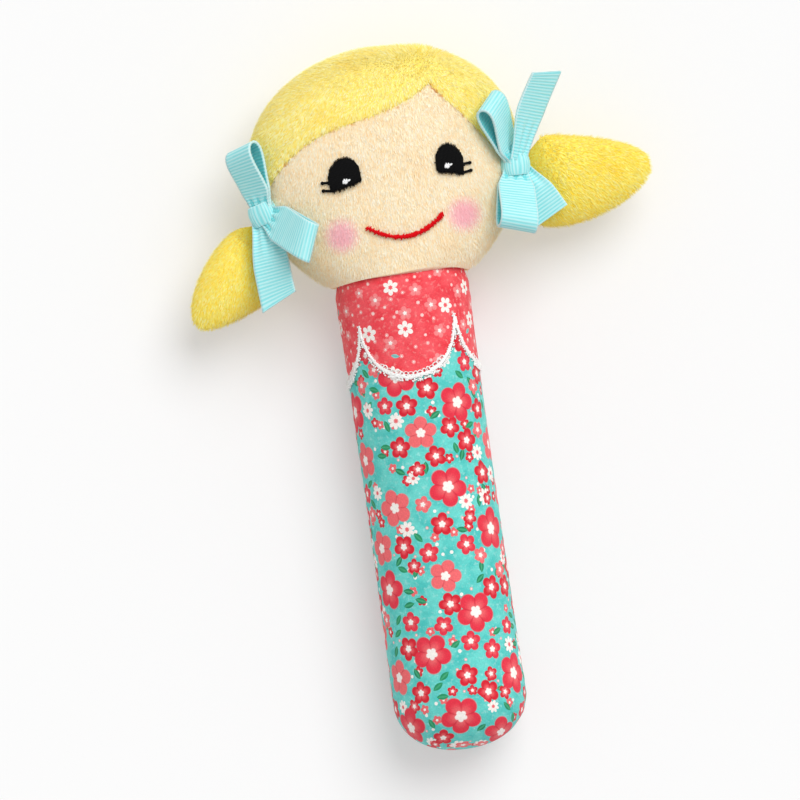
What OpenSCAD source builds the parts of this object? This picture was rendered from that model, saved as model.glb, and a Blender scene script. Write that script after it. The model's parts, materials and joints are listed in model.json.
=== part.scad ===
// Soft baby doll on a stuffed grip, lying on its back: +X across the face, +Y towards the crown, +Z out of
// the face. The origin is on the resting plane, under the body's axis and half way along the doll.

/* [Body] */
// Length of the body from its round foot to the neck seam
body_len = 125.6; // [110:0.5:145]
// Radius of the body at its waist
body_waist_r = 17.3; // [15:0.1:20]
// Radius of the body at the neck and above the foot
body_end_r = 17.7; // [16:0.1:20.5]
// Height of the round foot
foot_h = 14.6; // [10:0.2:20]
// Depth of the flat that the doll's own weight presses into its back
rest_depth = 0.4; // [0.2:0.1:0.8]
// Thickness of the printed cotton
cotton_t = 0.8; // [0.5:0.1:1.2]
// Height of the neck seam above the centre of the round neck
neck_drop = 4.5; // [3:0.1:6]

/* [Yoke and lace] */
// Number of scallops round the yoke
scallop_count = 4; // [3:1:6]
// Distance from the neck seam down to the points between the scallops
yoke_len = 12; // [8:0.5:18]
// Half width of the lace band
lace_half_w = 1; // [0.6:0.1:1.6]
// Height of the lace peaks between two scallops
lace_peak_h = 2.6; // [1:0.2:6]
// Thickness of the lace
lace_t = 0.5; // [0.3:0.1:0.8]

/* [Head] */
// Width of the head
head_w = 72.6; // [66:0.2:80]
// Height of the crown above the widest level
head_top_h = 29.4; // [25:0.2:35]
// Height of the widest level above the neck seam
head_low_h = 33; // [29:0.5:37]
// Depth of the face in front of the side seam
face_depth = 21.5; // [19:0.5:25]
// Thickness of the plush with its pile
plush_t = 2; // [1.2:0.1:3]
// Width of the head's rim round the neck
rim_t = 0.9; // [0.6:0.1:1.6]

/* [Hairline] */
// Distance of the parting from the middle of the head
parting_x = 14.5; // [0:0.2:18]
// Height of the parting above the widest level
parting_h = 17.2; // [13:0.2:20]
// How far the left temple lies below the widest level
left_temple_drop = 12; // [8:0.5:18]
// How far the right temple lies below the widest level
right_temple_drop = 14; // [8:0.5:20]

/* [Embroidery] */
// Distance between the middles of the eyes
eye_gap = 28.1; // [22:0.1:32]
// Sideways place of the face's middle
face_x = 3.3; // [-4:0.1:5]
// How far the eyes lie below the widest level
eye_drop = 4.3; // [0:0.1:7]
// Width of the left eye
left_eye_w = 9; // [6:0.1:11]
// Width of the right eye
right_eye_w = 7.6; // [6:0.1:11]
// Height of an eye
eye_h = 8.3; // [6:0.1:11]
// Length of an eyelash
lash_len = 2; // [1.2:0.1:3]
// Width of an eyelash
lash_w = 0.8; // [0.5:0.1:1.2]
// Width of the white stitches in an eye
glint_w = 2; // [1:0.1:3]
// Distance between the corners of the mouth
mouth_w = 20.3; // [14:0.1:25]
// How far the corners of the mouth lie below the widest level
mouth_drop = 18; // [14:0.1:20]
// Sag of the smile
smile_sag = 4.1; // [2:0.1:6]
// Width of the mouth's stitch
mouth_t = 1.2; // [0.8:0.1:2]
// Height of the stitched thread above the plush
thread_h = 0.7; // [0.4:0.1:1.2]

/* [Pigtails] */
// How far the left pigtail reaches from its root
left_pigtail_reach = 28.8; // [24:0.2:40]
// How far the right pigtail reaches from its root
right_pigtail_reach = 33.8; // [24:0.2:40]
// Direction in which the left pigtail points, in degrees from +X
left_pigtail_angle = 218; // [190:1:250]
// Direction in which the right pigtail points, in degrees from +X
right_pigtail_angle = 1; // [-60:1:20]
// How far the left root lies below the widest level
left_root_drop = 19.4; // [8:0.2:21]
// How far the right root lies below the widest level
right_root_drop = 11; // [8:0.2:21]
// Half width of the left pigtail at its widest
left_pigtail_half_w = 10.6; // [9:0.2:14]
// Half width of the right pigtail at its widest
right_pigtail_half_w = 12.6; // [9:0.2:14]
// Half thickness of a pigtail at its fullest
pigtail_half_t = 7.5; // [5:0.2:9]
// Half width of a pigtail's sewn root
root_half_w = 8; // [6:0.2:9]
// Radius of the sewn roll at a pigtail's root
root_r = 1.3; // [0.9:0.1:1.8]

/* [Bows] */
// Width of the grosgrain ribbon
ribbon_w = 10; // [7:0.5:12]
// Thickness of the ribbon
ribbon_t = 0.7; // [0.4:0.1:1]
// Width of a loop where the knot gathers it
loop_gather_w = 5; // [4:0.1:7]
// Width of a tail where the knot gathers it
tail_gather_w = 4.6; // [2.4:0.1:6]
// Length of the left bow's upper loop
left_up_loop_len = 18.6; // [14:0.2:26]
// Length of the left bow's loop over the cheek
left_cheek_loop_len = 21.2; // [14:0.2:26]
// Length of the left bow's tail
left_tail_len = 24.6; // [16:0.2:32]
// Length of the right bow's upper loop
right_up_loop_len = 20; // [14:0.2:26]
// Length of the right bow's lower loop
right_low_loop_len = 18.6; // [14:0.2:26]
// Length of the right bow's upper tail
right_up_tail_len = 26.2; // [16:0.2:32]
// Length of the right bow's lower tail
right_low_tail_len = 17; // [12:0.2:24]
// Half opening of the upper loops
up_loop_open = 2.1; // [1:0.1:4]
// Half opening of the loop over the cheek
cheek_loop_open = 2; // [1:0.1:4]
// Half opening of the right bow's lower loop
low_loop_open = 2.6; // [1:0.1:4]
// How far the left knot lies below the widest level
left_knot_drop = 10.8; // [4:0.2:14]
// How far the right knot lies below the widest level
right_knot_drop = 7.2; // [4:0.2:14]
// How far the knots lie inside the head's outline
knot_in = 1.6; // [0:0.1:4]
// Width of a knot across its ribbons
knot_w = 8; // [7:0.2:11]
// Length of a knot along its ribbons
knot_len = 5.6; // [5:0.2:9]
// Thickness of a knot
knot_t = 6.4; // [5.6:0.2:9]
// Rise of the middle of a tail that lies on the doll above its ends
tail_hump = 1.2; // [0:0.1:3]

/* [Squeaker] */
// Distance of the squeaker from the foot
squeaker_at = 56; // [36:1:86]
// Radius of the squeaker
squeaker_r = 12; // [10:0.2:13]
// Thickness of the squeaker's end discs
disc_t = 2.4; // [1.6:0.1:3]
// Height of the squeaker's bellows at rest
bellows_h = 14; // [12:0.5:16]
// Number of pleats in the bellows
pleat_count = 4; // [3:1:6]
// Depth of a pleat
pleat_depth = 3; // [2:0.1:4]
// Wall of the bellows
bellows_wall = 0.8; // [0.5:0.1:1.2]
// Radius of the reed plug
reed_r = 4; // [3:0.1:5]
// How far the reed plug stands up inside the bellows
reed_rise = 3; // [1.5:0.1:4]
// Radius of the air hole through the reed plug
reed_bore_r = 1.5; // [1:0.1:2]

/* [Fits] */
// Gap between pieces that are packed or sewn together
sewn_gap = 0.1; // [0.05:0.05:0.25]
// Gap between pieces that move against each other
moving_gap = 0.3; // [0.2:0.05:0.6]

/* [Hidden] */
$fn = 72;

teal_print = "#5cc7bd";
red_print = "#ee5360";
lace_white = "#f7f4ee";
fibre_white = "#f4f1ea";
hair_yellow = "#f4df66";
skin_cream = "#fadfb2";
thread_black = "#171514";
thread_white = "#ffffff";
thread_red = "#d9141e";
ribbon_aqua = "#74d3d8";
plastic_white = "#e9edf0";

// Levels along the doll, and the height of the body's axis and side seams above the resting plane
doll_len = body_len + head_low_h + head_top_h;
foot_y = -doll_len / 2;
neck_y = foot_y + body_len;
neck_mid_y = neck_y - neck_drop;
head_y = neck_y + head_low_h;
axis_z = body_waist_r - rest_depth;
far = 2 * doll_len;

// Two-way index of the paired pieces
left = 0;
right = 1;
side_sign = [-1, 1];
eye_w = [left_eye_w, right_eye_w];
pigtail_reach = [left_pigtail_reach, right_pigtail_reach];
pigtail_point = [left_pigtail_angle, right_pigtail_angle];
root_drop = [left_root_drop, right_root_drop];
pigtail_half_w = [left_pigtail_half_w, right_pigtail_half_w];
knot_drop = [left_knot_drop, right_knot_drop];

function lerp(a, b, t) = a + (b - a) * t;
function unit(v) = v / norm(v);
function heading(angle) = [cos(angle), sin(angle)];
function bezier(p, t) =
    pow(1 - t, 3) * p[0] + 3 * pow(1 - t, 2) * t * p[1] + 3 * (1 - t) * t * t * p[2] + pow(t, 3) * p[3];
// Half width of a rounded end at the share s of its height, where the power says how square it is
function rounded(s, power) = pow(max(0, 1 - pow(s, power)), 1 / power);
// Coordinate along one axis of a squared ellipse, from that axis's cosine or sine
function squared(c, power) = sign(c) * pow(abs(c), 2 / power);
function reversed(list) = [for (i = [len(list) - 1 : -1 : 0]) list[i]];

// A closed solid through rings of points, with one point over each end
module loft(rings, first, last) {
    n = len(rings[0]);
    m = len(rings);
    foot = [for (j = [0 : n - 1]) [0, 1 + (j + 1) % n, 1 + j]];
    sides = [
        for (i = [0 : m - 2], j = [0 : n - 1])
            let (a = 1 + i * n + j, b = 1 + i * n + (j + 1) % n)
                each [[a, b, b + n], [a, b + n, a + n]]
    ];
    crown = [for (j = [0 : n - 1]) let (a = 1 + (m - 1) * n) [m * n + 1, a + j, a + (j + 1) % n]];
    polyhedron(concat([first], [for (ring = rings) each ring], [last]), concat(foot, sides, crown), convexity = 6);
}

module above(z) {
    translate([-far, -far, z]) cube([2 * far, 2 * far, far]);
}

module front_half() {
    above(axis_z);
}

module back_half() {
    translate([-far, -far, axis_z - far]) cube([2 * far, 2 * far, far]);
}

module beyond(y) {
    translate([-far, y, -far]) cube([2 * far, far, 2 * far]);
}

// The stuffed body

foot_steps = 9;
waist_steps = 8;
dome_steps = 6;
foot_power = 2.2;
// Latitude on the round neck at which the yoke's cloth ends inside the head
yoke_end_lat = 50;

// Half outline of the body, taken in by inset, as [radius, height] pairs from the foot to the top of the neck
function body_outline(inset) =
    let (
        end_r = body_end_r - inset,
        waist_r = body_waist_r - inset,
        h = foot_h - inset,
        low_y = foot_y + foot_h
    )
    concat(
        [
            for (i = [0 : foot_steps])
                let (a = 90 * i / foot_steps)
                    [end_r * squared(sin(a), foot_power), low_y - h * squared(cos(a), foot_power)]
        ],
        [
            for (i = [1 : waist_steps])
                let (t = i / waist_steps)
                    [lerp(waist_r, end_r, pow(2 * t - 1, 2)), lerp(low_y, neck_mid_y, t)]
        ],
        [
            for (i = [1 : dome_steps - 1])
                let (lat = 90 * i / dome_steps)
                    [end_r * cos(lat), neck_mid_y + end_r * sin(lat)]
        ],
        [[0, neck_mid_y + end_r]]
    );

module body_solid(inset) {
    intersection() {
        translate([0, 0, axis_z]) rotate([-90, 0, 0]) mirror([0, 1, 0]) rotate_extrude() polygon(body_outline(inset));
        above(max(0, inset));
    }
}

module body_cloth() {
    difference() {
        body_solid(0);
        body_solid(cotton_t);
        beyond(neck_mid_y + body_end_r * sin(yoke_end_lat));
    }
}

// The scallops meet in points between them, and each is a half circle seen straight on
cusp_y = neck_y - yoke_len;
scallop_r = body_end_r * sin(180 / scallop_count);

module scallop(grow) {
    linear_extrude(height = far) union() {
        circle(r = scallop_r + grow);
        polygon([
            [-scallop_r - grow, 0],
            [-scallop_r, lace_peak_h],
            [-scallop_r, far],
            [scallop_r, far],
            [scallop_r, lace_peak_h],
            [scallop_r + grow, 0]
        ]);
    }
}

module yoke_zone(grow) {
    translate([0, cusp_y, axis_z]) {
        for (i = [0 : scallop_count - 1])
            rotate([0, i * 360 / scallop_count, 0]) scallop(grow);
    }
    beyond(cusp_y + lace_peak_h);
}

module dress_front() {
    color(teal_print) difference() {
        intersection() {
            body_cloth();
            front_half();
        }
        yoke_zone(0);
    }
}

module dress_back() {
    color(teal_print) difference() {
        intersection() {
            body_cloth();
            back_half();
        }
        yoke_zone(0);
    }
}

module yoke_front() {
    color(red_print) intersection() {
        body_cloth();
        front_half();
        yoke_zone(0);
    }
}

module yoke_back() {
    color(red_print) intersection() {
        body_cloth();
        back_half();
        yoke_zone(0);
    }
}

module lace_trim() {
    color(lace_white) difference() {
        intersection() {
            body_solid(-sewn_gap - lace_t);
            yoke_zone(lace_half_w);
        }
        body_solid(-sewn_gap);
        yoke_zone(-lace_half_w);
    }
}

// The squeaker lies across the grip, with its base against the back of the dress and fibre above and below

fibre_inset = cotton_t + sewn_gap;
squeaker_y = foot_y + squeaker_at;
lining_r = body_waist_r - cotton_t;
base_z = axis_z - sqrt(lining_r * lining_r - squeaker_r * squeaker_r) + moving_gap;
bellows_z = base_z + disc_t + sewn_gap;
cap_z = bellows_z + bellows_h + sewn_gap;
// Radius of the bellows' ridges, within the rims of the discs
ridge_r = squeaker_r - bellows_wall;
// Flange under the base that keeps the reed plug from going through
reed_flange_w = 1.5;
reed_flange_t = 1;
cap_crown = 0.8;

module lower_stuffing() {
    color(fibre_white) difference() {
        body_solid(fibre_inset);
        beyond(squeaker_y - squeaker_r - sewn_gap);
    }
}

module upper_stuffing() {
    color(fibre_white) intersection() {
        body_solid(fibre_inset);
        beyond(squeaker_y + squeaker_r + sewn_gap);
    }
}

module squeaker_base() {
    color(plastic_white) translate([0, squeaker_y, base_z]) difference() {
        cylinder(r = squeaker_r, h = disc_t);
        translate([0, 0, -sewn_gap]) cylinder(r = reed_r + sewn_gap, h = disc_t + 2 * sewn_gap);
    }
}

module squeaker_reed() {
    color(plastic_white) translate([0, squeaker_y, base_z]) difference() {
        union() {
            cylinder(r = reed_r, h = disc_t + reed_rise);
            translate([0, 0, -reed_flange_t - sewn_gap]) cylinder(r = reed_r + reed_flange_w, h = reed_flange_t);
            translate([0, 0, -reed_flange_t]) cylinder(r = reed_r, h = reed_flange_t);
        }
        translate([0, 0, -2 * reed_flange_t]) cylinder(r = reed_bore_r, h = disc_t + reed_rise + 3 * reed_flange_t);
    }
}

// Zigzag of ridges and valleys, as [radius, height] pairs that stand off the wall's inside by out
function pleats(out) = [
    for (i = [0 : 2 * pleat_count])
        [ridge_r - bellows_wall + out - (i % 2) * pleat_depth, bellows_h * i / (2 * pleat_count)]
];

module squeaker_bellows() {
    color(plastic_white) translate([0, squeaker_y, bellows_z]) rotate_extrude()
        polygon(concat(pleats(0), reversed(pleats(bellows_wall))));
}

module squeaker_cap() {
    color(plastic_white) translate([0, squeaker_y, cap_z]) rotate_extrude() polygon([
        [0, 0],
        [squeaker_r, 0],
        [squeaker_r, disc_t - cap_crown],
        [squeaker_r - cap_crown, disc_t],
        [0, disc_t]
    ]);
}

// The head turns on the round neck: its socket, and the rim where the socket ends at the seam

socket_r = body_end_r + moving_gap;
rim_in_r = sqrt(socket_r * socket_r - neck_drop * neck_drop);
rim_out_r = rim_in_r + rim_t;
back_depth = axis_z + rest_depth;
crown_power = 2.2;
left_crown_power = 1.98;
head_sides = 28;
head_low_steps = 6;
head_top_steps = 7;
// The lower half of the head is an ellipse that has the rim's width at the neck seam
chin_reach = head_low_h / sqrt(1 - pow(rim_out_r / (head_w / 2), 2));

// Half width, on one side, and half depth of the head at a level over its widest one, taken in by inset
function head_half_w(level, inset = 0, power = crown_power) =
    (head_w / 2 - inset)
    * (level > 0 ? rounded(level / (head_top_h - inset), power) : rounded(-level / (chin_reach - inset), 2));
function head_half_d(level, depth, inset = 0) =
    level > 0
        ? (depth - inset) * rounded(level / (head_top_h - inset), crown_power)
        : lerp(depth, rim_out_r, pow(level / head_low_h, 2)) - inset;

// Height of the head's front over the side seams, or less than zero outside its outline
function face_rise(x, y) =
    let (level = y - head_y, w = head_half_w(level, 0, x < 0 ? left_crown_power : crown_power))
    level < -head_low_h || abs(x) >= w ? -far : head_half_d(level, face_depth) * sqrt(1 - pow(x / w, 2));

function head_ring(level, inset) = [
    for (j = [0 : head_sides - 1])
        let (
            a = 360 * j / head_sides,
            w = head_half_w(level, inset, cos(a) < 0 ? left_crown_power : crown_power),
            d = head_half_d(level, sin(a) > 0 ? face_depth : back_depth, inset)
        )
        [w * cos(a), head_y + level, axis_z + d * sin(a)]
];

module head_solid(inset) {
    crown = head_top_h - inset;
    levels = concat(
        [for (i = [0 : head_low_steps - 1]) -head_low_h * cos(90 * i / head_low_steps)],
        [for (i = [0 : head_top_steps - 1]) crown * sin(90 * i / head_top_steps)]
    );
    intersection() {
        loft(
            [for (level = levels) head_ring(level, inset)],
            [0, neck_y, axis_z],
            [0, head_y + crown, axis_z]
        );
        above(max(0, inset));
    }
}

module neck_socket() {
    translate([0, neck_mid_y, axis_z]) sphere(r = socket_r);
}

module head_plush() {
    difference() {
        head_solid(0);
        head_solid(plush_t);
        neck_socket();
    }
}

// The hairline runs from the left temple up to the parting and down to the right temple
hairline_steps = 8;
// Handles that give the hairline its bends, from its ends
left_temple_handle = [17, 29];
left_peak_handle = [-18, -13];
right_peak_handle = [4.7, -6];
right_temple_handle = [-8.7, 17];
function hairline() =
    let (
        edge = head_w / 2,
        peak = [parting_x, parting_h],
        left_temple = [-edge, -left_temple_drop],
        right_temple = [edge, -right_temple_drop]
    )
    concat(
        [
            for (i = [0 : hairline_steps])
                bezier(
                    [left_temple, left_temple + left_temple_handle, peak + left_peak_handle, peak],
                    i / hairline_steps
                )
        ],
        [
            for (i = [1 : hairline_steps])
                bezier(
                    [peak, peak + right_peak_handle, right_temple + right_temple_handle, right_temple],
                    i / hairline_steps
                )
        ]
    );

module face_zone() {
    translate([0, head_y, 0]) linear_extrude(height = far)
        polygon(concat(hairline(), [[head_w / 2, -far], [-head_w / 2, -far]]));
}

module face_panel() {
    color(skin_cream) intersection() {
        head_plush();
        front_half();
        face_zone();
    }
}

module hair_front() {
    color(hair_yellow) difference() {
        intersection() {
            head_plush();
            front_half();
        }
        face_zone();
    }
}

module hair_back() {
    color(hair_yellow) intersection() {
        head_plush();
        back_half();
    }
}

module head_stuffing() {
    color(fibre_white) difference() {
        head_solid(plush_t + sewn_gap);
        neck_socket();
    }
}

// Embroidery: flat outlines raised on the face

module stitched(low, high) {
    difference() {
        intersection() {
            translate([0, head_y, axis_z]) linear_extrude(height = far) children();
            head_solid(-high);
        }
        head_solid(-low);
    }
}

eye_steps = 24;
// Share of an eye's height that is under its widest line, and how square that part is
eye_low_share = 0.33;
eye_low_power = 5;
// The eyes' lower edges slope down to the outside
eye_slope = 13;
// Places of the two lashes beside an eye, below its middle
lash_drops = [0.5, 2.7];
lash_rise = 5;
// How far a lash starts inside the eye's half width
lash_root = 1.8;
glint_drop = 0.6;
thread_edge = 0.02;

module eye_place(side) {
    translate([face_x + side_sign[side] * eye_gap / 2, -eye_drop]) scale([side_sign[side], 1]) children();
}

module eye_outline(side) {
    half_w = eye_w[side] / 2;
    up = eye_h * (1 - eye_low_share);
    down = eye_h * eye_low_share;
    rotate(-eye_slope) polygon([
        for (i = [0 : eye_steps - 1])
            let (a = 360 * i / eye_steps)
                sin(a) > 0
                    ? [half_w * cos(a), up * sin(a)]
                    : [half_w * squared(cos(a), eye_low_power), down * squared(sin(a), eye_low_power)]
    ]);
}

module lashes(side) {
    for (drop = lash_drops)
        translate([eye_w[side] / 2 - lash_root, -drop]) rotate(lash_rise) translate([0, -lash_w / 2])
            square([lash_len + lash_root, lash_w]);
}

module eye_stitches(side) {
    color(thread_black) stitched(sewn_gap, thread_h) eye_place(side) {
        eye_outline(side);
        lashes(side);
    }
}

module left_eye() {
    eye_stitches(left);
}

module right_eye() {
    eye_stitches(right);
}

module eye_glints() {
    color(thread_white) stitched(thread_h + thread_edge, 2 * thread_h) {
        for (side = [left, right])
            eye_place(side) translate([0, -glint_drop]) circle(d = glint_w);
    }
}

mouth_steps = 14;
// The smile is stitched a little out of level
mouth_slope = 2.3;

function smile(offset) = [
    for (i = [0 : mouth_steps])
        let (
            s = 2 * i / mouth_steps - 1,
            slope = unit([mouth_w, 4 * smile_sag * s])
        )
        [mouth_w / 2 * s, smile_sag * (s * s - 1)] + offset * [-slope[1], slope[0]]
];

module mouth() {
    color(thread_red) stitched(sewn_gap, thread_h) translate([face_x, -mouth_drop]) rotate(mouth_slope)
        polygon(concat(smile(-mouth_t / 2), reversed(smile(mouth_t / 2))));
}

// Pigtails: leaf forms that hang from a sewn roll in the head's side seam

pigtail_sides = 16;
pigtail_steps = 10;
pigtail_power = 1.9;
// Shares of a pigtail's length at which it is widest and fullest, and at which its spine leaves its root's line
widest_at = 0.25;
fullest_at = 0.42;
spine_lead = 0.35;
// Share of the root's roll that the form is as thick as where it starts
root_fill = 0.8;
// Step along a spine that gives its direction, and the thinnest section that a panel's inside may have
spine_step = 0.01;
least_half = 0.1;

// Outward direction of the head's outline at a root, and the middle of the root's roll
function root_out(side) =
    let (level = -root_drop[side], a = head_w / 2)
    unit([side_sign[side] * head_half_w(level) / (a * a), level / (chin_reach * chin_reach)]);
function root_mid(side) =
    [side_sign[side] * head_half_w(-root_drop[side]), head_y - root_drop[side]]
    + (root_r + moving_gap) * root_out(side);

function spine(side, s) =
    let (
        lead = spine_lead * pigtail_reach[side] * root_out(side),
        tip = pigtail_reach[side] * heading(pigtail_point[side])
    )
    2 * (1 - s) * s * lead + s * s * tip;
function spine_way(side, s) = unit(spine(side, s + spine_step) - spine(side, s - spine_step));
function swell(s, at, from, to) =
    s < at ? lerp(from, to, sin(90 * s / at)) : to * rounded((s - at) / (1 - at), pigtail_power);

function pigtail_ring(side, s, inset) =
    let (
        way = spine_way(side, s),
        across = [-way[1], way[0]],
        p = root_mid(side) + spine(side, s),
        w = max(least_half, swell(s, widest_at, root_half_w, pigtail_half_w[side]) - inset),
        t = max(least_half, swell(s, fullest_at, root_fill * root_r, pigtail_half_t) - inset)
    )
    [
        for (j = [0 : pigtail_sides - 1])
            let (a = 360 * j / pigtail_sides, q = p - w * cos(a) * across)
                [q[0], q[1], axis_z + t * sin(a)]
    ];

// The form from the share first of its length to its tip
module pigtail_form(side, first, inset) {
    last = 1 - inset / pigtail_reach[side];
    shares = [for (i = [0 : pigtail_steps - 1]) lerp(first, last, sin(90 * i / pigtail_steps))];
    start = root_mid(side) + spine(side, first);
    end = root_mid(side) + spine(side, last);
    loft(
        [for (s = shares) pigtail_ring(side, s, inset)],
        [start[0], start[1], axis_z],
        [end[0], end[1], axis_z]
    );
}

// The stuffing starts where the form is thick enough to hold some between its two panels
fibre_from = 0.18;

module pigtail_skin(side) {
    out = root_out(side);
    mid = root_mid(side);
    difference() {
        union() {
            pigtail_form(side, 0, 0);
            translate([mid[0], mid[1], axis_z]) rotate([90, 0, atan2(out[1], out[0])])
                cylinder(r = root_r, h = 2 * root_half_w, center = true);
        }
        pigtail_form(side, fibre_from, plush_t);
    }
}

module pigtail_front(side) {
    color(hair_yellow) intersection() {
        pigtail_skin(side);
        front_half();
    }
}

module pigtail_back(side) {
    color(hair_yellow) intersection() {
        pigtail_skin(side);
        back_half();
    }
}

module pigtail_stuffing(side) {
    color(fibre_white) pigtail_form(side, fibre_from + sewn_gap / pigtail_reach[side], plush_t + sewn_gap);
}

module left_pigtail_front() {
    pigtail_front(left);
}

module left_pigtail_back() {
    pigtail_back(left);
}

module left_pigtail_stuffing() {
    pigtail_stuffing(left);
}

module right_pigtail_front() {
    pigtail_front(right);
}

module right_pigtail_back() {
    pigtail_back(right);
}

module right_pigtail_stuffing() {
    pigtail_stuffing(right);
}

// Bows: each loop and tail is [direction, length, half opening, roll, layer over the knot's middle, least pitch,
// slant, hump], where the slant is how much further its left edge reaches than its middle

left_up_slant = -0.9;
left_cheek_slant = -1.5;
left_tail_slant = -1.9;
right_low_slant = 0.5;
right_tail_slant = -0.95;
right_up_tail_hump = -1;
left_loops = [
    [101, left_up_loop_len, up_loop_open, -47, 0, 8, left_up_slant],
    [-40, left_cheek_loop_len, cheek_loop_open, 10, 0, 10, left_cheek_slant]
];
left_tails = [[-88, left_tail_len, 0, 16, -0.3, 0, left_tail_slant, tail_hump]];
right_loops = [
    [105, right_up_loop_len, up_loop_open, 57, 0, 2, 0],
    [-96, right_low_loop_len, low_loop_open, -16, 0, 2, right_low_slant]
];
right_tails = [
    [63, right_up_tail_len, 0, 46, 1, 10, right_tail_slant, right_up_tail_hump],
    [-62, right_low_tail_len, 0, 0, -1, 8, 0, tail_hump]
];
knot_heading = [105, 88];
knot_lean = 24;
knot_sides = 20;
knot_steps = 6;
knot_power = 2.6;
loop_steps = 22;
tail_steps = 8;
// Shares of a loop's and a tail's length over which they widen from their gathers to the full width
loop_flare = 0.4;
tail_flare = 0.9;
ribbon_clear = 0.4;
// Share of a knot's length at which its ribbons start inside it, and how full a knot still is at its ends
ribbon_hold = 0.25;
knot_end_full = 0.84;
// Shares of a ribbon's length at which it is kept clear of the head
clear_shares = [0.3 : 0.1 : 1];
layer_h = knot_t / 2 - 2 * ribbon_t;
// How far out a loop is widest open, as a power, with the share that then stands for its full opening
loop_bulge = 1.5;
loop_bulge_full = 0.7;
// Turn along a loop that gives its direction
loop_step = 1;
// Share of a ribbon's thickness by which a loop's sides have parted where it opens, and its fold's share of a turn
loop_part = 0.6;
loop_fold = 0.7;
half_turn = 180;

function knot_mid(side) =
    let (x = side_sign[side] * (head_half_w(-knot_drop[side]) - knot_in), y = head_y - knot_drop[side])
    [x, y, axis_z + face_rise(x, y) + knot_t / 2];

// Side view of a loop's middle line, from the knot out to its end and back: a drop that is full near its end
function loop_open(r, t) = r[2] * sin(2 * t) * pow(sin(t), loop_bulge) / loop_bulge_full;
function loop_point(r, t) = [r[1] * sin(t), loop_open(r, t)];

// Least pitch at which both sides of a ribbon lie clear of the head along their edges and middles
function ribbon_pitch(side, r) =
    let (
        k = knot_mid(side),
        way = heading(r[0]),
        across = [-way[1], way[0]],
        half_w = ribbon_w / 2
    )
    max([
        r[5],
        for (s = clear_shares, lat = [-half_w, 0, half_w], fold = [-1, 1])
            let (
                open = fold * loop_open(r, asin(s)),
                out = s * r[1] + r[6] * lat / half_w,
                p = [k[0], k[1]] + out * way + (lat * cos(r[3]) - open * sin(r[3])) * across,
                rise = k[2] + r[4] * layer_h + lat * sin(r[3]) + open * cos(r[3]) - ribbon_t - ribbon_clear,
                need = axis_z + face_rise(p[0], p[1]) - rise
            )
            atan2(need, out)
    ]);

// A loop's two sides lie on each other near the knot, and inside it is open from where they have parted
function loop_line(r, offset, turn) =
    let (first = asin(ribbon_hold * knot_len / r[1]))
    [
        for (i = [0 : loop_steps])
            let (
                t = lerp(first, half_turn - first, i / loop_steps),
                p = loop_point(r, t),
                way = unit(loop_point(r, t + loop_step) - loop_point(r, t - loop_step)),
                parted = abs(cos(t)) < loop_fold || abs(p[1]) > loop_part * ribbon_t
            )
            if (offset > 0 || parted)
                [p[0] * cos(turn), p[1]] + offset * [-way[1], way[0]]
    ];

// Plan of a ribbon, gathered at the knot, with the reach of its right and left edges
module ribbon_plan(gather_w, full, right_end, left_end) {
    start = knot_len / 2;
    linear_extrude(height = 2 * ribbon_w, center = true) polygon([
        [0, -gather_w / 2],
        [start, -gather_w / 2],
        [full, -ribbon_w / 2],
        [right_end, -ribbon_w / 2],
        [left_end, ribbon_w / 2],
        [full, ribbon_w / 2],
        [start, gather_w / 2],
        [0, gather_w / 2]
    ]);
}

// A slanted loop's side view is turned, so that its fold crosses the ribbon at a slant
module loop_form(r) {
    turn = atan2(2 * r[6], ribbon_w);
    end = r[1] + abs(r[6]) + ribbon_t;
    intersection() {
        rotate([90, 0, -turn]) linear_extrude(height = 2 * ribbon_w, center = true) difference() {
            polygon(loop_line(r, ribbon_t / 2, turn));
            polygon(loop_line(r, -ribbon_t / 2, turn));
        }
        ribbon_plan(loop_gather_w, lerp(knot_len / 2, r[1], loop_flare), end, end);
    }
}

// A tail is slightly humped or hollow, and its end is cut at a slant
function tail_line(r, offset) = [
    for (i = [0 : tail_steps])
        let (s = i / tail_steps)
            [lerp(ribbon_hold * knot_len, r[1] + abs(r[6]), s), r[7] * sin(half_turn * s) + offset]
];

module tail_form(r) {
    half_t = ribbon_t / 2;
    intersection() {
        rotate([90, 0, 0]) linear_extrude(height = ribbon_w, center = true)
            polygon(concat(tail_line(r, half_t), reversed(tail_line(r, -half_t))));
        ribbon_plan(tail_gather_w, lerp(knot_len / 2, r[1] - abs(r[6]), tail_flare), r[1] - r[6], r[1] + r[6]);
    }
}

module ribbon(side, r) {
    translate(knot_mid(side) + [0, 0, r[4] * layer_h])
        rotate([0, 0, r[0]]) rotate([0, -ribbon_pitch(side, r), 0]) rotate([r[3], 0, 0])
            if (r[2] > 0)
                loop_form(r);
            else
                tail_form(r);
}

module knot_form(side, grow) {
    translate(knot_mid(side)) rotate([0, 0, knot_heading[side]]) rotate([side_sign[side] * knot_lean, 0, 0]) loft(
        [
            for (i = [0 : knot_steps])
                let (
                    s = 2 * i / knot_steps - 1,
                    full = lerp(knot_end_full, 1, cos(90 * s)),
                    w = knot_w / 2 * full + grow,
                    t = knot_t / 2 * full + grow
                )
                [
                    for (j = [0 : knot_sides - 1])
                        let (a = 360 * j / knot_sides)
                            [
                                (knot_len / 2 + grow) * s,
                                -w * squared(cos(a), knot_power),
                                t * squared(sin(a), knot_power)
                            ]
                ]
        ],
        [-knot_len / 2 - grow, 0, 0],
        [knot_len / 2 + grow, 0, 0]
    );
}

module bow_ribbons(side, ribbons) {
    color(ribbon_aqua) difference() {
        for (r = ribbons)
            ribbon(side, r);
        knot_form(side, sewn_gap);
    }
}

module bow_knot(side) {
    color(ribbon_aqua) difference() {
        knot_form(side, 0);
        head_solid(-sewn_gap);
    }
}

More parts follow.
